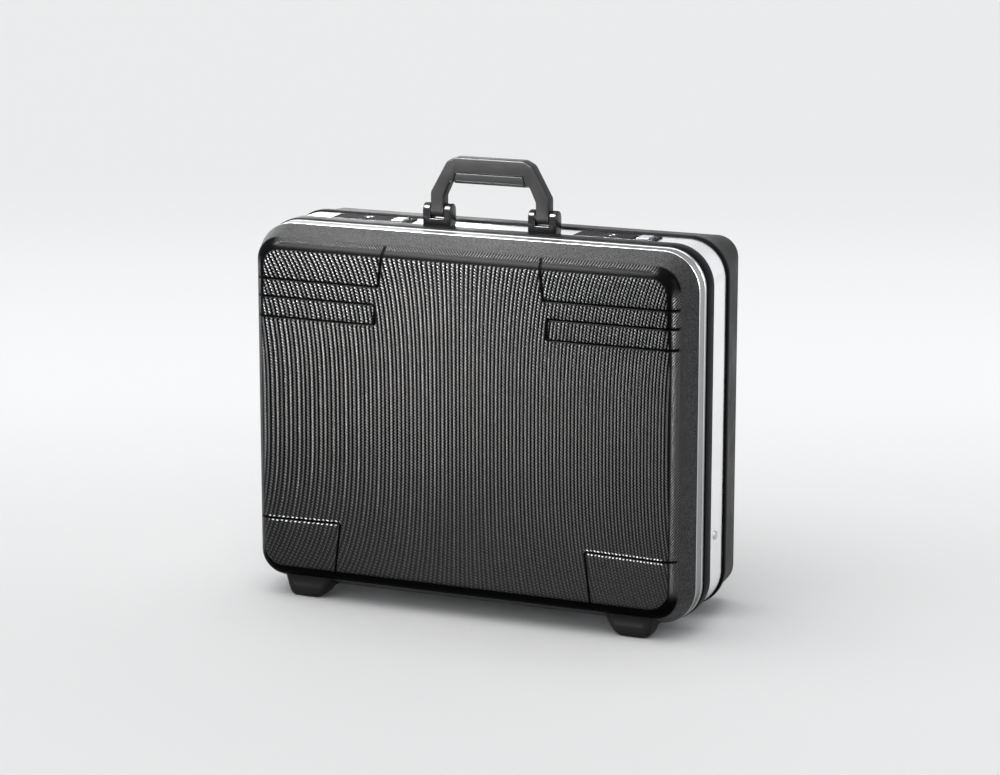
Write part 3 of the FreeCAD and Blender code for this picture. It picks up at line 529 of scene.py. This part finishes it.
def rear_shell_material():
    """Black moulding with a fine mottled grain."""
    g = Graph("base_moulding")
    mottle = g.math("ADD", g.cells(2.2 * MM), g.noise(0.9 * MM, 3.0))
    g.shader.inputs["Specular IOR Level"].default_value = 0.05
    body = g.blend(g.remap(mottle, 0.5, 1.1, 0.0, 1.0), (0.001, 0.001, 0.0011), (0.018, 0.018, 0.0185))
    rough = g.remap(g.noise(35 * MM, 3.0), 0.3, 0.7, 0.38, 0.5)
    return g.finish(body, rough, g.bump(mottle, 0.18 * MM))


def floor_material():
    """Pale seamless paper, with a whiter band of painted light behind the case."""
    g = Graph("studio_paper")
    x, y, _ = g.axes()
    back = g.math("ADD", g.math("MULTIPLY", x, -math.sin(AZIMUTH)), g.math("MULTIPLY", y, math.cos(AZIMUTH)))
    begins, peaks, ends = PAINTED_LIGHT_BAND
    near = g.remap(back, begins, peaks, 0.0, 1.0)
    far = g.remap(back, peaks, ends, 1.0, 0.0)
    # Painted light: the paper is whiter in a band behind the case
    body = g.blend(g.math("MULTIPLY", near, far), PAPER, PAPER_PAINTED_LIGHT)
    return g.finish(body, 0.75, g.bump(g.noise(2 * MM, 3.0), 0.02 * MM))


# ---------------- mesh tools

def new_object(name, mesh_data, materials, body=None):
    """Object from a bmesh, riding a body."""
    mesh = bpy.data.meshes.new(name)
    bmesh.ops.recalc_face_normals(mesh_data, faces=mesh_data.faces)
    mesh_data.to_mesh(mesh)
    mesh_data.free()
    for material in materials:
        mesh.materials.append(material)
    obj = bpy.data.objects.new(name, mesh)
    bpy.context.scene.collection.objects.link(obj)
    if body:
        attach(obj, body)
    return obj


def smooth(obj, angle):
    """Smooth shading, sharp where faces meet at more than the angle."""
    obj.data.shade_smooth()
    obj.data.set_sharp_from_angle(angle=math.radians(angle))


def apply_modifiers(obj):
    """Bake an object's modifiers into its mesh."""
    depsgraph = bpy.context.evaluated_depsgraph_get()
    baked = bpy.data.meshes.new_from_object(obj.evaluated_get(depsgraph))
    obj.modifiers.clear()
    old = obj.data
    obj.data = baked
    bpy.data.meshes.remove(old)


def bevel(obj, width, segments, angle):
    """Round an object's sharp edges."""
    modifier = obj.modifiers.new("bevel", "BEVEL")
    modifier.width = width
    modifier.segments = segments
    modifier.limit_method = "ANGLE"
    modifier.angle_limit = math.radians(angle)
    apply_modifiers(obj)


def combine(obj, other, operation):
    """Boolean with another object, which is then removed."""
    modifier = obj.modifiers.new("boolean", "BOOLEAN")
    modifier.operation = operation
    modifier.solver = "EXACT"
    modifier.object = other
    bpy.context.view_layer.update()
    apply_modifiers(obj)
    bpy.data.objects.remove(other, do_unlink=True)


def block(low, high):
    """Plain box between two corners, for use as a tool."""
    bm = bmesh.new()
    bmesh.ops.create_cube(bm, size=1.0)
    for vertex in bm.verts:
        vertex.co = [low[i] if vertex.co[i] < 0 else high[i] for i in range(3)]
    return new_object("tool", bm, [])


def rod(radius, start, end):
    """Plain cylinder between two points, for use as a tool."""
    bm = bmesh.new()
    span = Vector(end) - Vector(start)
    bmesh.ops.create_cone(bm, cap_ends=True, segments=ROD_STEPS,
                          radius1=radius, radius2=radius, depth=span.length)
    turn = span.to_track_quat("Z", "Y").to_matrix().to_4x4()
    bmesh.ops.transform(bm, matrix=turn, verts=bm.verts)
    bmesh.ops.translate(bm, vec=(Vector(start) + Vector(end)) / 2, verts=bm.verts)
    return new_object("tool", bm, [])


def outline_stations(half_w, half_h, corner):
    """Centres and angles of a rounded rectangle's points, anticlockwise from its right side."""
    stations = []
    for quarter in range(4):
        centre_x = (half_w - corner) * (1 if quarter in (0, 3) else -1)
        centre_z = CENTRE_Z + (half_h - corner) * (1 if quarter in (0, 1) else -1)
        for step in range(CORNER_STEPS + 1):
            angle = math.radians(90 * quarter + 90 * step / CORNER_STEPS)
            stations.append((centre_x, centre_z, angle))
    return stations


def bridge(bm, loop, following):
    """Faces between two loops of vertices."""
    faces = []
    for i in range(len(loop)):
        j = (i + 1) % len(loop)
        faces.append(bm.faces.new((loop[i], loop[j], following[j], following[i])))
    return faces


def sweep(name, profile, stations, materials, body, closed=True):
    """Band with a closed (inset, y) profile carried along the stations."""
    bm = bmesh.new()
    rings = []
    for centre_x, centre_z, angle in stations:
        ring = []
        for inset, y in profile:
            reach = CORNER - inset
            x = centre_x + reach * math.cos(angle)
            z = centre_z + reach * math.sin(angle)
            ring.append(bm.verts.new((x, y, z)))
        rings.append(ring)
    pairs = list(zip(rings, rings[1:]))
    if closed:
        pairs.append((rings[-1], rings[0]))
    else:
        bm.faces.new(rings[0])
        bm.faces.new(rings[-1][::-1])
    for ring, following in pairs:
        bridge(bm, ring, following)
    obj = new_object(name, bm, materials, body)
    smooth(obj, 20)
    return obj


# ---------------- shells

def wall_inset(depth, wall_depth, face_depth, wall_end):
    """Inset of a shell at a depth: a drafted wall, then an arc into the flat face."""
    slope = math.atan((wall_end - SHELL_STEP) / wall_depth)
    if depth <= wall_depth:
        return SHELL_STEP + depth * math.tan(slope)
    radius = (face_depth - wall_depth) / (1 - math.sin(slope))
    angle = math.asin(min(1.0, math.sin(slope) + (depth - wall_depth) / radius))
    return wall_end + radius * (math.cos(slope) - math.cos(angle))


def shell_rings(edge_y, face_y, wall_depth, insets, corner, thickness, first_depth):
    """(inset_x, inset_z, corner, y) of a shell's surface, from its edge to its face."""
    direction = 1 if face_y > edge_y else -1
    face_depth = abs(face_y - edge_y) - thickness
    depths = [first_depth + (wall_depth - first_depth) * step / 6 for step in range(6)]
    for step in range(ARC_STEPS + 1):
        depths.append(wall_depth + (face_depth - wall_depth) * math.sin(math.pi / 2 * step / ARC_STEPS))
    rings = []
    for depth in depths:
        inset_x, inset_z = [wall_inset(depth, wall_depth, face_depth, end) for end in insets]
        share = min(1.0, depth / wall_depth)
        radius = (CORNER - SHELL_STEP) * (1 - share) + corner * share
        radius -= CORNER_SHRINK * max(0.0, inset_x - insets[0])
        y = edge_y + direction * depth
        rings.append((inset_x + thickness, inset_z + thickness, radius - thickness, y))
    return rings


def shell(edge_y, face_y, rim_y, wall_depth, insets, corner):
    """Moulded tray with a rim: outer surface, rim and inner surface in one closed mesh."""
    outer = shell_rings(edge_y, face_y, wall_depth, insets, corner, 0.0, 0.0)
    root = (RIM_INNER - SHELL_STEP - SHELL_THICKNESS) * wall_depth / (max(insets) - SHELL_STEP)
    inner = shell_rings(edge_y, face_y, wall_depth, insets, corner, SHELL_THICKNESS, root)
    rim = []
    for inset, y in ((RIM_OUTER, edge_y), (RIM_OUTER, rim_y), (RIM_INNER, rim_y)):
        rim.append((inset, inset, CORNER - inset, y))
    section = outer[::-1] + rim + inner
    bm = bmesh.new()
    loops = []
    for inset_x, inset_z, radius, y in section:
        loop = []
        half_w, half_h = HALF_WIDTH - inset_x, HALF_HEIGHT - inset_z
        for centre_x, centre_z, angle in outline_stations(half_w, half_h, radius):
            x = centre_x + radius * math.cos(angle)
            z = centre_z + radius * math.sin(angle)
            loop.append(bm.verts.new((x, y, z)))
        loops.append(loop)
    for index, (loop, following) in enumerate(zip(loops, loops[1:])):
        for face in bridge(bm, loop, following):
            face.material_index = 0 if index < len(outer) else 1
    bm.faces.new(loops[0])
    bm.faces.new(loops[-1][::-1]).material_index = 1
    bmesh.ops.remove_doubles(bm, verts=bm.verts, dist=0.001 * MM)
    return bm


def bent(points, half_width, depth):
    """Groove segments along a path whose corners are cut off."""
    path = [Vector(points[0])]
    for before, here, after in zip(points, points[1:], points[2:]):
        here = Vector(here)
        path.append(here + (Vector(before) - here).normalized() * GROOVE_BEND)
        path.append(here + (Vector(after) - here).normalized() * GROOVE_BEND)
    path.append(Vector(points[-1]))
    return [(start, end, half_width, depth) for start, end in zip(path, path[1:])]


def groove_lines():
    """Grooves of the lid's right half as (start, end, half width, depth), in X and Z."""
    top = CENTRE_Z + HALF_HEIGHT
    bottom = CENTRE_Z - HALF_HEIGHT
    side = HALF_WIDTH - GROOVE_FADE_INSET[0]
    first, second, third = [top - drop for drop in GROOVE_DROPS]
    wide = (GROOVE_HALF_WIDTH, GROOVE_DEPTH)
    thin = (THIN_HALF_WIDTH, THIN_DEPTH)
    block = [(BLOCK_INNER[0], top - GROOVE_FADE_INSET[0]), (BLOCK_INNER[1], first), (side, first)]
    bars = [(side, second), (BAR_INNER, second), (BAR_INNER, third), (side, third)]
    patch_start = (PATCH_START[0], bottom + PATCH_START[1])
    patch_foot = (PATCH_FOOT, bottom + GROOVE_FADE_INSET[0])
    patch = [(side, bottom + PATCH_END_RISE), patch_start, patch_foot]
    return bent(block, *wide) + bent(bars, *wide) + bent(patch, *thin)


def segment_distance(point, start, end):
    """Distance from a point to a segment."""
    span = end - start
    share = max(0.0, min(1.0, (point - start).dot(span) / span.length_squared))
    return (point - (start + span * share)).length


def cut_grooves(bm):
    """Score the lid's outer surface along each groove, then press the grooves in."""
    grooves = []
    for start, end, half_width, depth in groove_lines():
        for side in (-1, 1):
            ends = [Vector((side * place.x, place.y)) for place in (start, end)]
            grooves.append((*ends, half_width, depth))
    bmesh.ops.recalc_face_normals(bm, faces=bm.faces)
    for start, end, half_width, _ in grooves:
        score(bm, start, end, half_width)
    bm.normal_update()
    # Mask of the grooves, by which the lid's material paints them near black as shade
    mask = bm.verts.layers.float.new("groove")
    moves = []
    for vertex in bm.verts:
        if not outer_vertex(vertex):
            continue
        here = Vector((vertex.co.x, vertex.co.z))
        depth = 0.0
        for start, end, half_width, full in grooves:
            share = segment_distance(here, start, end) / half_width
            if share < 1.0:
                depth = max(depth, full * (0.5 + 0.5 * math.cos(math.pi * share)) ** GROOVE_ROUNDING)
        inset = min(HALF_WIDTH - abs(vertex.co.x), HALF_HEIGHT - abs(vertex.co.z - CENTRE_Z))
        fade = (inset - GROOVE_FADE_INSET[0]) / (GROOVE_FADE_INSET[1] - GROOVE_FADE_INSET[0])
        depth *= max(0.0, min(1.0, fade))
        if depth > 0:
            vertex[mask] = min(1.0, depth / (0.5 * THIN_DEPTH))
            moves.append((vertex, vertex.normal * -depth))
    for vertex, move in moves:
        vertex.co += move


def outer_vertex(vertex):
    """True for a vertex of the outer surface."""
    return all(face.material_index == 0 for face in vertex.link_faces) and vertex.co.y < LID_EDGE - 0.5 * MM


def score(bm, start, end, half_width):
    """Cut the outer faces near a segment along lines parallel to it."""
    along = (end - start).normalized()
    across = Vector((-along.y, along.x))
    margin = 2 * half_width
    faces = []
    for face in bm.faces:
        if face.material_index != 0:
            continue
        values = [Vector((v.co.x, v.co.z)) - start for v in face.verts]
        sideways = [value.dot(across) for value in values]
        forward = [value.dot(along) for value in values]
        near_side = min(sideways) < margin and max(sideways) > -margin
        near_end = min(forward) < (end - start).length + margin and max(forward) > -margin
        if near_side and near_end:
            faces.append(face)
    for share in GROOVE_CUTS:
        faces = cut_faces(bm, faces, start + across * share * half_width, across)
    for place in (start - along * half_width, start, end, end + along * half_width):
        faces = cut_faces(bm, faces, place, along)


def cut_faces(bm, faces, place, normal):
    """Cut faces along the plane through an (x, z) place, and give the faces that result."""
    geometry = set(faces)
    for face in faces:
        geometry.update(face.edges)
        geometry.update(face.verts)
    result = bmesh.ops.bisect_plane(bm, geom=list(geometry), dist=1e-7,
                                    plane_co=(place.x, 0, place.y), plane_no=(normal.x, 0, normal.y))
    return [item for item in result["geom"] if isinstance(item, bmesh.types.BMFace)]


def make_shells(inner):
    """Both shells in place of their CAD nodes."""
    lid = shell(LID_EDGE, LID_FACE, LID_RIM_END, LID_WALL_DEPTH, LID_WALL_INSETS, LID_WALL_CORNER)
    cut_grooves(lid)
    add_shell("lid_shell", lid, [front_shell_material(), inner], "lid", "front_shell")
    base = shell(BASE_EDGE, BASE_FACE, BASE_RIM_END, BASE_WALL_DEPTH, BASE_WALL_INSETS, BASE_WALL_CORNER)
    add_shell("base_shell", base, [rear_shell_material(), inner], "base", "rear_shell")


def add_shell(name, mesh_data, materials, body, node):
    """Shell object that takes a CAD node's place."""
    obj = new_object(name, mesh_data, materials, body)
    smooth(obj, 45)
    keep_flats = obj.modifiers.new("weights", "WEIGHTED_NORMAL")
    keep_flats.keep_sharp = True
    apply_modifiers(obj)
    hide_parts(node)


# ---------------- frames and beads

def make_frames(lid_metal, base_metal, bead):
    """Aluminium frames and black beads, swept around the case."""
    stations = outline_stations(HALF_WIDTH, HALF_HEIGHT, CORNER)
    bead_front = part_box("lid_edge_bead")[0][1]
    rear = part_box("lid_edge_bead")[1][1]
    lid = sweep("lid_band", lid_frame_profile(bead_front, rear), stations, [lid_metal], "lid")
    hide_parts("lid_frame")
    base = sweep("base_band", base_frame_profile(), stations, [base_metal], "base")
    for side in ("left", "right"):
        cut_lock_openings(base, side)
    smooth(base, 20)
    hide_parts("base_frame")
    rear_profile = bead_profile(BEAD_LOW.y, BEAD_HIGH.y, FRAME_SKIN)
    rear_bead = sweep("base_bead", rear_profile, stations, [bead], "base")
    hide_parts("base_edge_bead")
    make_lid_bead(bead, bead_profile(bead_front, rear, FRAME_SKIN), stations)


def lid_frame_profile(bead_front, rear):
    """Section of the lid's frame: a raised line in front of the bead, and the seal's channel inside."""
    low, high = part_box("lid_frame")
    line = [bead_front - distance for distance in LID_LINE]
    raised = FRAME_SKIN - LID_LINE_HEIGHT
    step_y = rear - LID_STEP_DEPTH
    web_y = low[1] + LID_WEB_START
    return [
        (FRAME_SKIN + FRAME_EDGE, low[1]), (FRAME_SKIN, low[1] + FRAME_EDGE),
        (FRAME_SKIN, line[0]), (raised, line[1]), (raised, line[2]), (FRAME_SKIN, line[3]),
        (FRAME_SKIN, rear), (FRAME_INSIDE, rear), (FRAME_INSIDE, step_y),
        (LID_STEP_INSET, step_y), (LID_STEP_INSET, high[1]), (LID_WEB_INSET, high[1]),
        (LID_WEB_INSET, web_y), (FRAME_INSIDE, web_y), (FRAME_INSIDE, low[1]),
    ]


def base_frame_profile():
    """Section of the base's frame: a small lip at its front edge and a rib inside."""
    low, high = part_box("base_frame")
    lip = [low[1] + distance for distance in BASE_LIP]
    raised = FRAME_SKIN - BASE_LIP_HEIGHT
    rib_low, rib_high = BASE_RIB
    return [
        (FRAME_SKIN + FRAME_EDGE, low[1]), (raised, lip[0]), (raised, lip[1]), (FRAME_SKIN, lip[2]),
        (FRAME_SKIN, high[1]), (FRAME_INSIDE, high[1]), (FRAME_INSIDE, rib_high),
        (BASE_RIB_INSET, rib_high), (BASE_RIB_INSET, rib_low), (FRAME_INSIDE, rib_low),
        (FRAME_INSIDE, low[1]),
    ]


def cut_lock_openings(base, side):
    """Slot of a lock's slide and hole of its barrel, through the top of the base's frame."""
    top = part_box("base_frame")[1][2]
    slide_low, slide_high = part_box(f"lock_slide_{side}")
    barrel_low, barrel_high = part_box(f"lock_cylinder_{side}")
    x = (barrel_high[0] + barrel_low[0]) / 2
    y = (barrel_low[1] + barrel_high[1]) / 2
    slot_low = (slide_low[0] + SLOT_MARGINS[0] - SLIDE_TRAVEL, y - SLOT_HALF_WIDTH, top - CUT_BELOW)
    slot_high = (slide_high[0] - SLOT_MARGINS[1], y + SLOT_HALF_WIDTH, top + CUT_ABOVE)
    combine(base, block(slot_low, slot_high), "DIFFERENCE")
    hole = rod(BARREL_HOLE, (x, y, top - CUT_BELOW), (x, y, top + CUT_ABOVE))
    combine(base, hole, "DIFFERENCE")


def bead_profile(y0, y1, depth):
    """Slightly crowned bead with rounded outer edges."""
    radius = 1.3 * MM
    crown = 0.25 * MM
    turns = [math.radians(22.5 * step) for step in range(5)]
    points = [(depth, y0)]
    for angle in turns:
        points.append((crown + radius - radius * math.sin(angle), y0 + radius - radius * math.cos(angle)))
    points.append((0.0, (y0 + y1) / 2))
    for angle in turns:
        points.append((crown + radius - radius * math.cos(angle), y1 - radius + radius * math.sin(angle)))
    points.append((depth, y1))
    return points


def make_lid_bead(bead, profile, stations):
    """The lid's bead in two lengths, parted by the hinges."""
    low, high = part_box("hinge_lid_leaf_right")
    gap = 1 * MM
    outer_x = high[0] + gap
    inner_x = low[0] - gap
    bottom_z = CENTRE_Z - HALF_HEIGHT + CORNER
    down = math.radians(270)
    quarter = len(stations) // 4
    right_first = stations[3 * quarter:] + stations[:3 * quarter]
    around = [(outer_x, bottom_z, down)] + right_first + [(-outer_x, bottom_z, down)]
    long_bead = sweep("lid_bead", profile, around, [bead], "lid", closed=False)
    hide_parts("lid_edge_bead")
    between = [(-inner_x, bottom_z, down), (inner_x, bottom_z, down)]
    short_bead = sweep("lid_bead_bottom", profile, between, [bead], "lid", closed=False)
    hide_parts("lid_edge_bead_bottom")


# ---------------- handle

def rounded(points, radii, steps=6):
    """Polygon with its corners rounded, each by its own radius."""
    result = []
    count = len(points)
    for i in range(count):
        here = Vector(points[i])
        before = Vector(points[i - 1]) - here
        after = Vector(points[(i + 1) % count]) - here
        if radii[i] <= 0:
            result.append(here)
            continue
        bend = before.angle(after)
        setback = min(radii[i] / math.tan(bend / 2), before.length * 0.49, after.length * 0.49)
        start = here + before.normalized() * setback
        end = here + after.normalized() * setback
        for step in range(steps + 1):
            t = step / steps
            result.append(start * (1 - t) ** 2 + here * 2 * t * (1 - t) + end * t ** 2)
    return result


def extruded(name, outline, low, high, axis, materials=(), body=None):
    """Outline in the other two axes, extruded along X (axis 0) or Y (axis 1) from low to high."""
    bm = bmesh.new()
    ends = []
    for value in (low, high):
        loop = []
        for a, b in outline:
            place = (value, a, b) if axis == 0 else (a, value, b)
            loop.append(bm.verts.new(place))
        ends.append(loop)
    bm.faces.new(ends[0])
    bm.faces.new(ends[1][::-1])
    bridge(bm, *ends)
    return new_object(name, bm, list(materials), body)


def pin_line():
    """Y and Z of the line that the handle swings about."""
    low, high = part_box("handle_pins")
    return (low[1] + high[1]) / 2, (low[2] + high[2]) / 2


def handle_outline():
    """Rounded outline of the handle: its outside, then its inside round the grip's seat."""
    _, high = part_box("handle_frame")
    grip_low, grip_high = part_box("handle_grip")
    _, pin_z = pin_line()
    half_leg, top = high[0], high[2]
    outer = [
        (half_leg, pin_z), (half_leg, pin_z + SHOULDER_RISE),
        (half_leg - SHOULDER[0], top - SHOULDER[1]), (half_leg - HANDLE_TOP_INSET, top),
    ]
    outer_radii = [0, OUTER_BEND, OUTER_BEND, OUTER_BEND]
    inner = [
        (grip_high[0] - GRIP_SLANT + GRIP_SEAM, grip_high[2] + GRIP_SEAM),
        (grip_high[0] + GRIP_SEAM, grip_low[2] + GRIP_REVEAL), THROAT,
        (LEG_INSIDE, LEG_BEND_Z), (LEG_INSIDE, pin_z),
    ]
    inner_radii = [0, 0, GRIP_BEND, INNER_BEND, 0]
    points = outer + mirrored(outer) + mirrored(inner) + inner
    radii = outer_radii + outer_radii[::-1] + inner_radii[::-1] + inner_radii
    return rounded(points, radii)


def mirrored(points):
    """Points of the other half, in the order that carries an outline on."""
    return [(-x, z) for x, z in points[::-1]]


def make_handle(material):
    """Bent handle with a rounded section and bored leg ends."""
    low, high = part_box("handle_frame")
    pin_y, pin_z = pin_line()
    bow = extruded("handle_bow", handle_outline(), low[1], high[1], 1, [material], "handle")
    bevel(bow, 2.2 * MM, 4, 40)
    end_span = (LEG_INSIDE + 0.2 * MM, high[0] - 0.2 * MM)
    for side in (-1, 1):
        for radius, span, operation in (((high[1] - low[1]) / 2, end_span, "UNION"),
                                        (PIN_BORE, BORE_SPAN, "DIFFERENCE")):
            tool = rod(radius, (side * span[0], pin_y, pin_z), (side * span[1], pin_y, pin_z))
            combine(bow, tool, operation)
    smooth(bow, 30)
    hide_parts("handle_frame")


def make_grip(material):
    """Grip insert under the handle's bar."""
    low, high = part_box("handle_grip")
    outline = [(-high[0], low[2]), (high[0], low[2]),
               (high[0] - GRIP_SLANT, high[2]), (GRIP_SLANT - high[0], high[2])]
    section = rounded(outline, [0, 0, GRIP_BEND, GRIP_BEND])
    grip = extruded("handle_insert", section, low[1], high[1], 1, [material], "handle")
    bevel_low_edges(grip, low[2])
    bevel(grip, 0.7 * MM, 3, 40)
    smooth(grip, 35)
    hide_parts("handle_grip")


def bevel_low_edges(obj, z):
    """Round the long lower edges of the grip widely."""
    bm = bmesh.new()
    bm.from_mesh(obj.data)
    edges = []
    for edge in bm.edges:
        flat = all(abs(v.co.z - z) < 0.01 * MM for v in edge.verts)
        long = abs(edge.verts[0].co.x - edge.verts[1].co.x) > 20 * MM
        if flat and long:
            edges.append(edge)
    bmesh.ops.bevel(bm, geom=edges, offset=5.5 * MM, segments=6, profile=0.5, affect="EDGES")
    bm.to_mesh(obj.data)
    bm.free()


def make_bracket(name, ears, material):
    """Forked bracket with rounded ears, given the widths of its left and right ear."""
    low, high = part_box(f"handle_bracket_{name}")
    pin_y, pin_z = pin_line()
    radius = high[2] - pin_z
    left, right = low[0] + ears[0], high[0] - ears[1]
    floor = low[2] + FORK_FLOOR
    fork = [
        (low[0], low[2]), (high[0], low[2]), (high[0], high[2]), (right, high[2]),
        (right, floor), (left, floor), (left, high[2]), (low[0], high[2]),
    ]
    past = 1 * MM
    dome = [(pin_y - radius, low[2] - past), (pin_y + radius, low[2] - past)]
    for step in range(DOME_STEPS + 1):
        angle = math.pi * step / DOME_STEPS
        dome.append((pin_y + radius * math.cos(angle), pin_z + radius * math.sin(angle)))
    bracket = extruded(f"bracket_{name}", fork, low[1], high[1], 1, [material], "base")
    combine(bracket, extruded("tool", dome, low[0] - past, high[0] + past, 0), "INTERSECT")
    bevel(bracket, 1.1 * MM, 3, 40)
    smooth(bracket, 35)
    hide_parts(f"handle_bracket_{name}")


# ---------------- feet

def bottom_height(y, lid):
    """Height of the case's outer underside at a station along Y."""
    bottom = CENTRE_Z - HALF_HEIGHT
    if lid:
        depth = LID_EDGE - y
        wall = (LID_WALL_DEPTH, LID_EDGE - LID_FACE, LID_WALL_INSETS[1])
    else:
        depth = y - BASE_EDGE
        wall = (BASE_WALL_DEPTH, BASE_FACE - BASE_EDGE, BASE_WALL_INSETS[1])
    if depth <= 0:
        return bottom + 2 * MM
    return bottom + wall_inset(depth, *wall)


def make_feet(material):
    """Rounded feet with a recessed outer panel, let into the shells."""
    for end in ("front", "rear"):
        lid = end == "front"
        for name in ("left", "right"):
            low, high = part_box(f"{end}_foot_{name}")
            side = -1 if name == "left" else 1
            foot = make_foot(low, high, lid, side, material, f"foot_{end}_{name}")
            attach(foot, "lid" if lid else "base")
            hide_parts(f"{end}_foot_{name}")


def make_foot(low, high, lid, side, material, name):
    """One foot: stacked rounded rectangles whose top follows the shell."""
    bm = bmesh.new()
    loops = []
    for level, inner, outer, edge in FOOT_LEVELS:
        left, right = (outer, inner) if side < 0 else (inner, outer)
        x0, x1 = low[0] + left * MM, high[0] - right * MM
        y0, y1 = low[1] + edge * MM, high[1] - edge * MM
        loop = []
        for x, y in rounded([(x0, y0), (x1, y0), (x1, y1), (x0, y1)], [FOOT_CORNER] * 4, 5):
            top = bottom_height(y, lid) + FOOT_SINK
            z = top if level is None else min(level * MM, top - 0.2 * MM)
            loop.append(bm.verts.new((x, y, z)))
        loops.append(loop)
    for loop, following in zip(loops, loops[1:]):
        bridge(bm, loop, following)
    bm.faces.new(loops[0])
    bm.faces.new(loops[-1][::-1])
    bm.normal_update()
    outward = -1 if lid else 1
    panels = [f for f in bm.faces if f.normal.y * outward > 0.9 and f.calc_area() > 200 * MM * MM]
    if panels:
        bmesh.ops.inset_region(bm, faces=panels, thickness=PANEL_BORDER, depth=0.0)
        bmesh.ops.inset_region(bm, faces=panels, thickness=PANEL_SLOPE, depth=-PANEL_DEPTH)
    obj = new_object(name, bm, [material])
    smooth(obj, 40)
    return obj


# ---------------- carried-over nodes

def dress(nodes, material):
    """Give CAD nodes a material."""
    for node in nodes:
        mesh = frame["nodes"][node].data
        mesh.materials.clear()
        mesh.materials.append(material)


def both(*names):
    """Left and right node of each name."""
    return [f"{name}_{side}" for name in names for side in ("left", "right")]


# ---------------- stage

def area_light(name, place, target, size, power, spread):
    """Soft rectangular light that faces a point."""
    data = bpy.data.lights.new(name, "AREA")
    data.shape = "RECTANGLE"
    data.size, data.size_y = size
    data.energy = power
    data.spread = math.radians(spread)
    light = bpy.data.objects.new(name, data)
    light.location = place
    light.rotation_euler = (Vector(target) - Vector(place)).to_track_quat("-Z", "Y").to_euler()
    bpy.context.scene.collection.objects.link(light)
    return light


def make_world():
    """Pale studio: bright around the horizon, dimmer overhead."""
    world = bpy.data.worlds.new("studio")
    world.use_nodes = True
    tree = world.node_tree
    coords = tree.nodes.new("ShaderNodeTexCoord")
    split = tree.nodes.new("ShaderNodeSeparateXYZ")
    tree.links.new(coords.outputs["Generated"], split.inputs[0])
    ramp = tree.nodes.new("ShaderNodeMapRange")
    ramp.interpolation_type = "SMOOTHSTEP"
    for value, socket in zip((WORLD_LOW, WORLD_HIGH, WORLD_HORIZON, WORLD_ZENITH), list(ramp.inputs)[1:5]):
        socket.default_value = value
    tree.links.new(split.outputs[2], ramp.inputs[0])
    tree.links.new(ramp.outputs[0], tree.nodes["Background"].inputs["Strength"])
    tree.nodes["Background"].inputs["Color"].default_value = (0.97, 0.98, 1.0, 1.0)
    bpy.context.scene.world = world


def make_stage():
    """Seamless floor, soft lights and a pale world."""
    bm = bmesh.new()
    bmesh.ops.create_grid(bm, x_segments=1, y_segments=1, size=15.0)
    floor = new_object("floor", bm, [floor_material()])
    floor.location.z = -0.2 * MM
    make_world()
    case = bpy.data.collections.new("case_only")
    for obj in bpy.context.scene.objects:
        if obj.type == "MESH" and obj is not floor:
            case.objects.link(obj)
    for name, settings in AREA_LIGHTS.items():
        light = area_light(name, *settings)
        light.light_linking.receiver_collection = case
        light.visible_camera = False
    sun = bpy.data.lights.new("overhead", "SUN")
    sun.energy = SUN_POWER
    sun.angle = math.radians(SUN_ANGLE)
    overhead = bpy.data.objects.new("overhead", sun)
    overhead.rotation_euler = [math.radians(angle) for angle in SUN_TILT]
    bpy.context.scene.collection.objects.link(overhead)
    bpy.context.scene.view_settings.view_transform = "Standard"


def make_camera():
    """Camera at the photograph's angle."""
    data = bpy.data.cameras.new("camera")
    data.lens = LENS
    data.sensor_width = SENSOR
    camera = bpy.data.objects.new("camera", data)
    level = math.cos(ELEVATION)
    towards = Vector((math.sin(AZIMUTH) * level, -math.cos(AZIMUTH) * level, math.sin(ELEVATION)))
    camera.location = TARGET + towards * CAMERA_DISTANCE
    camera.rotation_euler = (-towards).to_track_quat("-Z", "Y").to_euler()
    bpy.context.scene.collection.objects.link(camera)
    bpy.context.scene.camera = camera


def dress_carried_nodes():
    """Materials of the pieces that keep their CAD shape."""
    dress(["lid_seal"], plastic("seal_rubber"))
    dress(both("lock_plate"), metal("lock_plate_metal"))
    dress(both("lock_slide"), plastic("button_plastic"))
    dress(both("lock_cylinder"), metal("polished_chrome"))
    steel = metal("zinc_steel")
    dress(both("lock_case", "lock_hook", "lock_striker", "hinge_base_leaf", "hinge_lid_leaf"), steel)
    dress(both("stay_arm", "stay_link"), steel)
    dress(["handle_pins", "hinge_pins", "front_foot_screws", "rear_foot_screws"], steel)
    riveted = ("bracket", "lock", "striker", "hinge_base", "hinge_lid", "stay_base", "stay_elbow", "stay_lid")
    dress([f"{part}_rivets" for part in riveted], steel)


def build():
    """Everything that is seen."""
    make_shells(plastic("shell_inside"))
    make_frames(metal("lid_aluminium_painted_shade"), metal("base_aluminium"), plastic("bead_plastic"))
    make_handle(plastic("handle_plastic"))
    make_grip(plastic("grip_plastic"))
    gloss = plastic("bracket_plastic")
    make_bracket("left", (OUTER_EAR, INNER_EAR), gloss)
    make_bracket("right", (INNER_EAR, OUTER_EAR), gloss)
    make_feet(plastic("foot_plastic"))
    dress_carried_nodes()
    make_stage()
    make_camera()


build()
